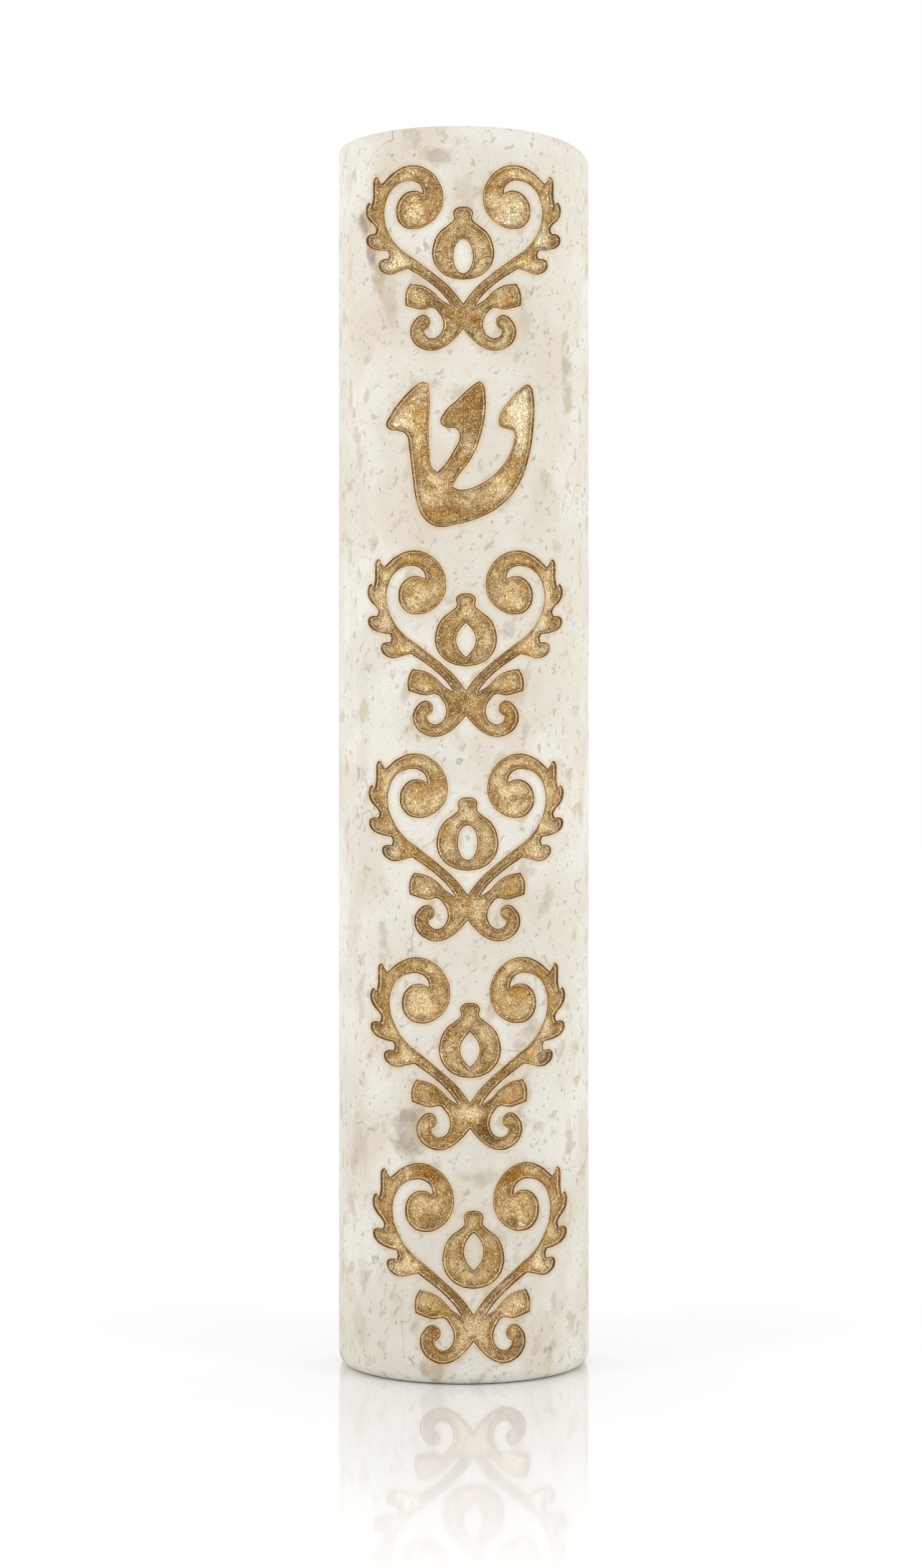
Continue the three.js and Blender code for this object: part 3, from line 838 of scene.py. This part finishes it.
def mask(tree, group, **inputs):
    return add(tree, "Group", inputs, node_tree=group).outputs["Mask"]


# %% Build the shared effects
clouds, given, out = effect(
    "clouds", {"Vector": (0, 0, 0), "Size": 1.0, "Low": 0.4, "High": 0.6, "Detail": 3.0},
)
scale = maths(clouds, "DIVIDE", 1.0, given["Size"])
noise = add(clouds, "TexNoise", {"Vector": given["Vector"], "Scale": scale, "Detail": given["Detail"]})
clouds.links.new(smooth_step(clouds, noise.outputs["Fac"], given["Low"], given["High"]), out["Mask"])

flecks, given, out = effect(
    "flecks", {"Vector": (0, 0, 0), "Size": 1.0, "Radius": 0.3, "Share": 0.5},
)
scale = maths(flecks, "DIVIDE", 1.0, given["Size"])
cells = add(flecks, "TexVoronoi", {"Vector": given["Vector"], "Scale": scale})
chance = add(flecks, "SeparateColor", {"Color": cells.outputs["Color"]}).outputs[0]
chosen = maths(flecks, "LESS_THAN", chance, given["Share"])
own_radius = times(flecks, given["Radius"], maths(flecks, "ADD", chance, 0.5))
core = times(flecks, own_radius, 0.5)
spot = smooth_step(flecks, cells.outputs["Distance"], core, own_radius, 1.0, 0.0)
flecks.links.new(times(flecks, spot, chosen), out["Mask"])

hairlines, given, out = effect("hairlines", {"Vector": (0, 0, 0), "Size": 5.0, "Width": 0.01})
scale = maths(hairlines, "DIVIDE", 1.0, given["Size"])
noise = add(
    hairlines, "TexNoise",
    {"Vector": given["Vector"], "Scale": scale, "Detail": 2.5, "Distortion": 0.6},
)
from_middle = maths(hairlines, "ABSOLUTE", maths(hairlines, "SUBTRACT", noise.outputs["Fac"], 0.5))
hairlines.links.new(smooth_step(hairlines, from_middle, 0.0, given["Width"], 1.0, 0.0), out["Mask"])

patch, given, out = effect("patch", {"Vector": (0, 0, 0), "Centre": (0, 0, 0), "Reach": (1, 1, 1)})
between = {0: given["Vector"], 1: given["Centre"]}
offset = add(patch, "VectorMath", between, operation="SUBTRACT").outputs[0]
scaled = add(patch, "VectorMath", {0: offset, 1: given["Reach"]}, operation="DIVIDE").outputs[0]
far = add(patch, "VectorMath", {0: scaled}, operation="LENGTH").outputs["Value"]
ragged = add(patch, "TexNoise", {"Vector": given["Vector"], "Scale": 0.55, "Detail": 5.0}).outputs["Fac"]
raggedness = times(patch, maths(patch, "SUBTRACT", ragged, 0.5), 2.0)
torn = maths(patch, "ADD", far, raggedness)
patch.links.new(smooth_step(patch, torn, 0.35, 1.1, 1.0, 0.0), out["Mask"])
print("shared effects:", [group.name for group in bpy.data.node_groups])

# %% [markdown]
# ## How a finish is made
# Each finish is a Principled shader. Its colour is built up in layers, as a painter would: a base, then
# one tone after another, each through its own mask. The masks also set its roughness and its relief,
# so that a pit is dark, dull and deep at once.

# %% Start a finish
def finish(name):
    """A new material: its node tree, its Principled shader and the place on the surface in mm."""
    material = bpy.data.materials.new(name)
    material.use_nodes = True
    tree = material.node_tree
    shader = tree.nodes["Principled BSDF"]
    place = add(tree, "TexCoord").outputs["Object"]
    place = add(tree, "Mapping", {"Vector": place, "Scale": (1000, 1000, 1000)}).outputs[0]
    return material, tree, shader, place


def layered(tree, shader, base, layers):
    """Paints layers over a base colour: a mask, the colour that it brings, and how much it covers."""
    colour = None
    for strength, toward, amount in layers:
        mix = add(tree, "Mix", data_type="RGBA")
        tree.links.new(times(tree, strength, amount), mix.inputs[0])
        if colour:
            tree.links.new(colour, mix.inputs[6])
        else:
            mix.inputs[6].default_value = (*base, 1)
        mix.inputs[7].default_value = (*toward, 1)
        colour = mix.outputs[2]
    tree.links.new(colour, shader.inputs["Base Color"])


def roughened(tree, shader, strength, clean, worn):
    """Makes the surface rougher where the mask is strong."""
    tree.links.new(smooth_step(tree, strength, 0.0, 1.0, clean, worn), shader.inputs["Roughness"])


def clouded(tree, place, size, low, high, detail):
    """Soft clouds of this size in mm, from where the noise passes low to where it passes high."""
    return mask(tree, clouds, Vector=place, Size=size, Low=low, High=high, Detail=detail)


def flecked(tree, place, size, radius, share):
    """Spots, at most one to a cell of this size, with a radius in cells, in a share of the cells."""
    return mask(tree, flecks, Vector=place, Size=size, Radius=radius, Share=share)


def lined(tree, place, size, width):
    """A mask of thin wandering lines."""
    return mask(tree, hairlines, Vector=place, Size=size, Width=width)


def stretched(tree, place, lengths, tilt=0.0):
    """Makes a pattern longer along x, y and z by these factors, leaning by an angle in radians."""
    inputs = {"Vector": place, "Rotation": (0, tilt, 0), "Scale": lengths}
    return add(tree, "Mapping", inputs, vector_type="TEXTURE").outputs[0]


def relief(tree, shader, strength, distance, heights):
    """Adds up weighted masks as a height and gives the shader its bump."""
    total = 0.0
    for height_mask, weight in heights:
        total = maths(tree, "ADD", times(tree, height_mask, weight), total)
    bump = add(tree, "Bump", {"Strength": strength, "Distance": distance * mm, "Height": total})
    tree.links.new(bump.outputs[0], shader.inputs["Normal"])


def marked(tree, place, marks):
    """The strongest of some ragged patches: arc, height, half width, half height and strength."""
    strongest = 0.0
    for arc, z, half_width, half_height, strength in marks:
        reach = (half_width, half_width, half_height)
        one = mask(tree, patch, Vector=place, Centre=on_front(arc, z), Reach=reach)
        strongest = maths(tree, "MAXIMUM", times(tree, one, strength), strongest)
    return strongest


def on_front(arc, z):
    """The place in millimetres of a point on the round front, by arc from the middle and height."""
    angle = arc * mm / radius
    return (radius * math.sin(angle) / mm, (axis_y - radius * math.cos(angle)) / mm, z)


def paint(piece, material):
    piece.data.materials.clear()
    piece.data.materials.append(material)


# %% [markdown]
# ## Limestone
# The stone is ivory, with broad paler and beige clouds, a fine sandy grain, small oblong pits, hair
# cracks and a few grey-brown stains that water left. The gilder's size soaked a little into the
# stone, so a faint brown edge follows every ornament. The stains have their own places, given by
# the length of arc from the middle of the front and by height.

# %% Finish the limestone
STAINS = [
    # arc from the middle, height, half width, half height, strength of each
    (-14.2, 144.0, 1.5, 2.6, 1.0), (-12.7, 140.6, 1.6, 2.8, 1.0), (-11.2, 137.2, 1.5, 2.6, 0.9),
    (-10.0, 133.6, 1.6, 3.4, 0.4), (-3.4, 151.3, 2.6, 1.3, 0.6), (0.2, 147.2, 1.8, 2.0, 0.35),
    (-5.0, 130.6, 1.0, 2.0, 0.6), (7.6, 131.2, 1.5, 2.4, 0.35), (14.9, 126.0, 1.5, 1.6, 0.8),
    (15.1, 122.4, 1.4, 2.4, 0.7), (-6.6, 31.2, 3.6, 4.2, 0.75), (-2.6, 36.0, 2.0, 1.2, 0.55),
    (1.8, 25.6, 2.8, 1.3, 0.45), (9.2, 43.8, 1.6, 2.4, 0.5), (-15.6, 29.0, 2.2, 5.0, 0.35),
    (-3.9, 1.9, 2.4, 1.7, 0.7), (4.7, 2.8, 0.5, 0.4, 1.0), (-15.4, 6.5, 2.2, 3.0, 0.35),
    (13.0, 8.5, 1.4, 1.8, 0.4),
]
limestone, tree, shader, place = finish("limestone")
broad = clouded(tree, place, 13.0, 0.42, 0.62, 4.0)
rosy = clouded(tree, stretched(tree, place, (1, 1, 1.6)), 7.0, 0.5, 0.68, 5.0)
blotch = clouded(tree, stretched(tree, place, (1, 1, 1.3), 0.5), 2.6, 0.56, 0.68, 7.0)
scraps = clouded(tree, stretched(tree, place, (0.7, 0.7, 1.3), 0.75), 1.0, 0.62, 0.67, 6.0)
grey_scraps = clouded(tree, stretched(tree, place, (0.8, 0.8, 1.5), -0.6), 1.3, 0.655, 0.69, 6.0)
grain = clouded(tree, place, 0.2, 0.35, 0.7, 2.0)
chalk = flecked(tree, place, 1.1, 0.3, 0.5)
pits = flecked(tree, stretched(tree, place, (1, 1, 1.9), 0.5), 1.6, 0.16, 0.24)
fine_pits = flecked(tree, stretched(tree, place, (1, 1, 1.5), -0.7), 0.7, 0.22, 0.28)
veins = lined(tree, place, 13.0, 0.003)
vein_area = clouded(tree, place, 6.0, 0.55, 0.6, 1.0)
veins = times(tree, veins, vein_area)
# Painted shade: grey vertical streaks only along the left flank, darkening that edge.
left_flank_shade_streaks = clouded(tree, stretched(tree, place, (1, 1, 25)), 0.9, 0.45, 0.7, 3.0)
across = add(tree, "SeparateXYZ", {"Vector": place}).outputs["X"]
left_side = smooth_step(tree, across, -15.5, -10.5, 1.0, 0.0)
left_flank_shade_streaks = times(tree, left_flank_shade_streaks, left_side)
beside_gold = add(tree, "Attribute", attribute_name="beside_gold").outputs["Fac"]
soaked = smooth_step(tree, beside_gold, 0.0, 0.55, 1.0, 0.0)
stained = marked(tree, place, STAINS)
water_marks = clouded(tree, stretched(tree, place, (1, 1, 1.8), -0.4), 1.6, 0.4, 0.62, 6.0)
deep_stain = times(tree, times(tree, stained, stained), water_marks)
print("masks for the stone:", sum(node.type == "GROUP" for node in tree.nodes))

# %% Colour the limestone
# The grey streaks on the left flank are painted shade.
layered(tree, shader, (0.75, 0.71, 0.62), [
    (broad, (0.85, 0.825, 0.765), 0.85),
    (rosy, (0.70, 0.61, 0.485), 0.6),
    (blotch, (0.54, 0.455, 0.34), 0.65),
    (stained, (0.48, 0.37, 0.24), 0.9),
    (deep_stain, (0.22, 0.19, 0.16), 0.8),
    (scraps, (0.44, 0.37, 0.27), 0.6),
    (grey_scraps, (0.37, 0.345, 0.31), 0.65),
    (grain, (0.66, 0.60, 0.50), 0.35),
    (chalk, (0.95, 0.935, 0.89), 0.15),
    (left_flank_shade_streaks, (0.66, 0.65, 0.62), 0.45),
    (veins, (0.36, 0.33, 0.29), 0.7),
    (soaked, (0.66, 0.42, 0.18), 0.48),
    (fine_pits, (0.46, 0.41, 0.34), 0.5),
    (pits, (0.32, 0.28, 0.23), 0.7),
])
roughened(tree, shader, grain, 0.55, 0.8)
shader.inputs["Specular IOR Level"].default_value = 0.35
relief(
    tree, shader, 0.5, 0.12,
    [(grain, 0.35), (pits, -1.0), (fine_pits, -0.6), (scraps, -0.5), (blotch, -0.3), (veins, -0.4)],
)
paint(stone, limestone)

# %% [markdown]
# ## Gold leaf
# The leaf is metal, but thinner than a breath, so it takes the unevenness under it: small facets,
# wrinkles where it was pressed into the tray, and pinholes. It is champagne where it lies clean, and
# ochre to brown where size or dirt shows through. Fine bright grains and spangles are painted glints.
# The plainest dark patches have their own places, as the stains have, and so have bright patches of
# painted highlight on the outer parts that face the side lights. At the rim the leaf was cut away and
# its brown edge shows as a broken dark line, deepened with painted shade, so the rim's distance
# attribute paints that line and takes the metal away. The same distance paints a band of painted
# shade down the tray's wall and a thin painted highlight just inside the rim.

# %% Finish the gold leaf
DARKENED = [
    # arc from the middle, height, half width, half height, strength of each
    (-3.9, 26.2, 2.4, 1.5, 0.9), (6.2, 25.6, 2.4, 2.2, 1.0), (3.6, 31.0, 1.6, 2.4, 0.8),
    (-2.4, 36.0, 2.2, 1.1, 0.9), (-3.3, 5.6, 2.2, 1.8, 0.6), (-12.6, 149.0, 1.1, 2.4, 0.7),
    (-5.4, 148.2, 1.6, 2.0, 0.5), (0.2, 121.0, 2.4, 5.0, 0.5), (-1.2, 107.8, 4.4, 1.3, 0.6),
    (0.0, 130.5, 3.0, 2.0, 0.5),
]
# Patches of painted highlight on the outer parts that face the side lights, with the same columns as
# above.
PAINTED_HIGHLIGHT_PLACES = [
    (7.2, 119.0, 2.2, 6.0, 0.9), (-8.8, 118.5, 2.0, 2.4, 0.7), (10.6, 141.5, 1.8, 6.0, 0.9),
    (8.6, 136.0, 3.0, 2.4, 0.8), (-10.0, 138.0, 2.4, 2.6, 0.8), (6.0, 143.6, 2.4, 2.4, 0.7),
    (-11.0, 92.0, 1.8, 6.0, 0.7), (10.8, 94.0, 1.8, 5.0, 0.8), (10.8, 66.0, 1.8, 6.0, 0.8),
    (-10.4, 66.0, 1.6, 5.0, 0.7), (11.0, 41.0, 1.8, 5.0, 0.8), (-9.8, 13.5, 2.0, 3.0, 0.7),
    (11.2, 13.5, 2.2, 4.0, 0.8),
]
gold, tree, shader, place = finish("gold_leaf")
rim = add(tree, "Attribute", attribute_name="rim").outputs["Fac"]
# The dark line round the rim: partly the leaf's brown cut edge, partly painted shade where the wall
# turns away. Where it is strong the metal is taken away.
edge_line = smooth_step(tree, rim, 0.02, 0.15, 1.0, 0.0)
edge_breakup = clouded(tree, place, 2.0, 0.36, 0.6, 4.0)
cut_edge_and_rim_shade = times(tree, edge_line, smooth_step(tree, edge_breakup, 0.0, 1.0, 0.35, 1.0))
# Painted shade: a broad dark band down the tray's wall, from the rim inwards, broken up by the same
# noise as the rim line.
painted_wall_shade = smooth_step(tree, rim, 0.1, 1.0, 1.0, 0.0)
painted_wall_shade = times(tree, painted_wall_shade, smooth_step(tree, edge_breakup, 0.0, 1.0, 0.55, 1.0))
# Painted highlight: a thin bright line just inside the rim, where the wall rounds into the floor.
inner_side = smooth_step(tree, rim, 0.2, 0.32, 1.0, 0.0)
painted_rim_highlight = times(tree, smooth_step(tree, rim, 0.1, 0.17), inner_side)
broad = clouded(tree, place, 4.5, 0.4, 0.62, 4.0)
ochre = clouded(tree, place, 1.7, 0.48, 0.62, 6.0)
amber = clouded(tree, place, 3.4, 0.58, 0.7, 6.0)
patina = clouded(tree, stretched(tree, place, (1, 1, 1.3), 0.8), 4.0, 0.56, 0.68, 8.0)
tarnish = clouded(tree, place, 0.6, 0.58, 0.7, 5.0)
grit = clouded(tree, place, 0.16, 0.4, 0.62, 3.0)
# Painted glints: bright grains and spangles painted into the leaf's colour, with a little relief.
painted_glint_grains = clouded(tree, place, 0.2, 0.55, 0.68, 4.0)
painted_glint_spangles = flecked(tree, place, 0.42, 0.4, 0.3)
pinholes = flecked(tree, place, 0.85, 0.15, 0.3)
wrinkles = lined(tree, place, 3.2, 0.012)
wrinkled = clouded(tree, place, 6.0, 0.5, 0.58, 1.0)
wrinkles = times(tree, wrinkles, wrinkled)
fine_wrinkles = lined(tree, place, 0.7, 0.06)
facets = add(tree, "TexVoronoi", {"Vector": place, "Scale": 1.3, "Detail": 1.5}, feature="SMOOTH_F1")
up = add(tree, "SeparateXYZ", {"Vector": place}).outputs["Z"]
weathered = times(tree, patina, smooth_step(tree, up, 20.0, 110.0, 1.0, 0.5))
darkened = marked(tree, place, DARKENED)
painted_highlight_patches = marked(tree, place, PAINTED_HIGHLIGHT_PLACES)
print("masks for the gold:", sum(node.type == "GROUP" for node in tree.nodes))

# %% Colour the gold leaf
# Painted light among these layers: the bright patches, the glints and the bright line inside the rim are
# painted highlights, the wall band is painted shade, and the dark rim line is partly painted shade.
layered(tree, shader, (0.60, 0.38, 0.15), [
    (broad, (0.98, 0.77, 0.44), 0.85),
    (ochre, (0.40, 0.215, 0.06), 0.6),
    (amber, (0.56, 0.29, 0.04), 0.6),
    (painted_highlight_patches, (1.0, 0.87, 0.58), 0.9),
    (painted_wall_shade, (0.21, 0.085, 0.01), 0.9),
    (darkened, (0.31, 0.13, 0.012), 0.95),
    (weathered, (0.19, 0.09, 0.025), 0.85),
    (tarnish, (0.17, 0.075, 0.018), 0.68),
    (grit, (0.22, 0.12, 0.035), 0.5),
    (painted_glint_grains, (1.0, 0.88, 0.62), 0.6),
    (painted_glint_spangles, (1.0, 0.84, 0.58), 0.35),
    (pinholes, (0.09, 0.05, 0.02), 0.6),
    (painted_rim_highlight, (1.0, 0.80, 0.48), 0.55),
    (cut_edge_and_rim_shade, (0.15, 0.065, 0.015), 0.92),
])
tree.links.new(maths(tree, "SUBTRACT", 1.0, cut_edge_and_rim_shade), shader.inputs["Metallic"])
worn = maths(tree, "MAXIMUM", weathered, tarnish)
roughened(tree, shader, worn, 0.2, 0.5)
relief(
    tree, shader, 0.7, 0.18,
    [(facets.outputs["Distance"], 0.6), (ochre, 0.3), (painted_glint_spangles, 0.3), (grit, 0.2), (painted_glint_grains, 0.12),
     (wrinkles, 0.6), (fine_wrinkles, 0.25), (pinholes, -0.4)],
)
for leaf in gilding:
    paint(leaf, gold)

# %% [markdown]
# ## Parchment
# Parchment is skin, so it has the marks of hair roots, faint veins and a nap that runs along it. A
# picture of real skin would do, but masks give the same marks at any size.

# %% Finish the parchment
parchment, tree, shader, place = finish("parchment")
broad = clouded(tree, place, 11.0, 0.38, 0.66, 4.0)
roots = flecked(tree, place, 0.5, 0.24, 0.5)
skin_veins = lined(tree, place, 14.0, 0.015)
nap = clouded(tree, stretched(tree, place, (1, 1, 3.3)), 0.3, 0.35, 0.65, 3.0)
layered(tree, shader, (0.70, 0.57, 0.36), [
    (broad, (0.82, 0.72, 0.52), 0.9),
    (nap, (0.88, 0.80, 0.62), 0.35),
    (roots, (0.50, 0.37, 0.20), 0.3),
    (skin_veins, (0.52, 0.38, 0.20), 0.3),
])
roughened(tree, shader, nap, 0.5, 0.72)
relief(tree, shader, 0.4, 0.05, [(nap, 0.5), (roots, -0.6), (skin_veins, 0.5)])
paint(roll, parchment)

# %% [markdown]
# ## Clear film
# Film is clear and crumpled, so all that shows is its gloss. It lets light through, as glass does, and
# a soft relief bends it along the creases.

# %% Finish the film
film, tree, shader, place = finish("clear_film")
ripples = clouded(tree, stretched(tree, place, (1, 1, 2.9)), 2.2, 0.2, 0.8, 2.0)
creases = lined(tree, stretched(tree, place, (1, 1, 2.5)), 6.0, 0.02)
layered(tree, shader, (0.97, 0.98, 0.98), [
    (creases, (0.88, 0.90, 0.90), 0.6),
])
roughened(tree, shader, creases, 0.05, 0.3)
shader.inputs["Transmission Weight"].default_value = 1.0
shader.inputs["IOR"].default_value = 1.4
relief(tree, shader, 0.35, 0.15, [(ripples, 0.8), (creases, 0.5)])
paint(sleeve, film)

# %% [markdown]
# ## Ivory plastic
# The cover is a satin plastic with a fine spark texture from its mould, faint flow marks, a little
# dust and a few scuffs.

# %% Finish the cover's plastic
plastic, tree, shader, place = finish("ivory_plastic")
flow = clouded(tree, stretched(tree, place, (1, 1, 5)), 9.0, 0.35, 0.65, 2.0)
spark = clouded(tree, place, 0.16, 0.35, 0.65, 2.0)
dust = flecked(tree, place, 1.6, 0.08, 0.4)
scuffs = lined(tree, stretched(tree, place, (1, 1, 4)), 9.0, 0.004)
layered(tree, shader, (0.74, 0.69, 0.575), [
    (flow, (0.79, 0.745, 0.64), 0.8),
    (spark, (0.69, 0.64, 0.53), 0.3),
    (dust, (0.55, 0.50, 0.42), 0.5),
    (scuffs, (0.86, 0.83, 0.76), 0.3),
])
roughened(tree, shader, spark, 0.36, 0.5)
relief(tree, shader, 0.3, 0.04, [(spark, 0.7), (scuffs, -0.6), (dust, 0.5)])
paint(cover, plastic)

# %% [markdown]
# ## White foam
# Foam is a mass of tiny cells. Modelling them would take millions of faces, so spots of two sizes
# darken the surface and dent its relief.

# %% Finish the foam
foam_finish, tree, shader, place = finish("white_foam")
pores = flecked(tree, place, 0.32, 0.45, 0.9)
large_pores = flecked(tree, place, 0.9, 0.3, 0.4)
ageing = clouded(tree, place, 6.0, 0.4, 0.65, 3.0)
layered(tree, shader, (0.86, 0.86, 0.84), [
    (ageing, (0.80, 0.785, 0.72), 0.7),
    (pores, (0.70, 0.69, 0.66), 0.45),
    (large_pores, (0.62, 0.61, 0.58), 0.4),
])
roughened(tree, shader, pores, 0.75, 0.95)
shader.inputs["Specular IOR Level"].default_value = 0.25
relief(tree, shader, 0.6, 0.1, [(pores, -0.8), (large_pores, -0.8)])
for strip in foam:
    paint(strip, foam_finish)
finishes = (limestone, gold, parchment, film, plastic, foam_finish)
print("finishes:", [material.name for material in finishes])

# %% [markdown]
# ## Camera
# The camera looks level at the middle of the case from about arm's length, with a long lens.

# %% Set up the camera
CAMERA_DISTANCE = 382 * mm
CAMERA_HEIGHT = 74 * mm
CAMERA_SIDE = -0.36 * mm
LENS = 68.4
bpy.ops.object.camera_add(
    location=(CAMERA_SIDE, axis_y - CAMERA_DISTANCE, CAMERA_HEIGHT), rotation=(math.pi / 2, 0, 0),
)
camera = bpy.context.object
camera.data.lens = LENS
camera.data.sensor_width = 36
camera.data.clip_start = 0.01
bpy.context.scene.camera = camera

# %% [markdown]
# ## Light and floor
# The case stands on a glossy white board in a white tent. Two soft lights stand at the sides, a
# little above, small enough to make the gold sparkle. The side of the tent with the camera is
# darker, which gives the gold its contrast. The tent itself is the world: white behind, greyer in
# front, and white to the camera. Near the case the board mirrors it faintly. Further out the mirror
# fades and the board glows a little, so that it melts into the tent without a horizon.

# %% Hang the tent and the soft lights
FRONT_OF_TENT = 0.16
REST_OF_TENT = 1.0
DIM_UP_TO = (-0.96, -0.58)  # how far round towards the camera, from -1 straight at it to 1
LAMP_PLACE = (0.52, -0.38, 0.32)
LAMP_SIZE = (0.15, 0.3)
LAMP_WATTS = 0.8
LAMP_AIM = Vector((0, 0, 0.08))
MIRROR_FADE = (22.0, 150.0)  # distances in mm from the column's axis
MIRROR = 0.46
GLOW = 0.1
world = bpy.data.worlds.new("white_tent")
bpy.context.scene.world = world
world.use_nodes = True
tree = world.node_tree
towards = add(tree, "SeparateXYZ", {"Vector": add(tree, "TexCoord").outputs["Generated"]}).outputs["Y"]
dimmed = smooth_step(tree, towards, *DIM_UP_TO, FRONT_OF_TENT, REST_OF_TENT)
seen = add(tree, "LightPath").outputs["Is Camera Ray"]
level = maths(tree, "MAXIMUM", dimmed, seen)
tree.links.new(level, tree.nodes["Background"].inputs["Strength"])
tree.nodes["Background"].inputs["Color"].default_value = (1, 1, 1, 1)

for side in (-1, 1):
    bpy.ops.object.light_add(type="AREA", location=(side * LAMP_PLACE[0], *LAMP_PLACE[1:]))
    lamp = bpy.context.object
    lamp.name = "soft_light_left" if side < 0 else "soft_light_right"
    lamp.data.shape = "RECTANGLE"
    lamp.data.size, lamp.data.size_y = LAMP_SIZE
    lamp.data.energy = LAMP_WATTS
    lamp.rotation_euler = (LAMP_AIM - lamp.location).to_track_quat("-Z", "Y").to_euler()

bpy.ops.mesh.primitive_plane_add(size=6, location=(0, 0, 0))
floor = new_piece(bpy.context.object, "white_board")
board, tree, shader, place = finish("white_board")
haze = clouded(tree, place, 60.0, 0.3, 0.7, 2.0)
axis_foot = (0, axis_y / mm, 0)
from_axis = add(tree, "VectorMath", {0: place, 1: axis_foot}, operation="DISTANCE").outputs["Value"]
polished = smooth_step(tree, from_axis, *MIRROR_FADE, MIRROR, 0.0)
glow = smooth_step(tree, from_axis, *MIRROR_FADE, 0.0, GLOW)
layered(tree, shader, (0.96, 0.96, 0.96), [(haze, (0.975, 0.975, 0.975), 1.0)])
tree.links.new(polished, shader.inputs["Metallic"])
shader.inputs["Specular IOR Level"].default_value = 0.0
roughened(tree, shader, haze, 0.045, 0.055)
shader.inputs["Emission Color"].default_value = (1, 1, 1, 1)
tree.links.new(glow, shader.inputs["Emission Strength"])
paint(floor, board)
bpy.context.scene.view_settings.view_transform = "Standard"
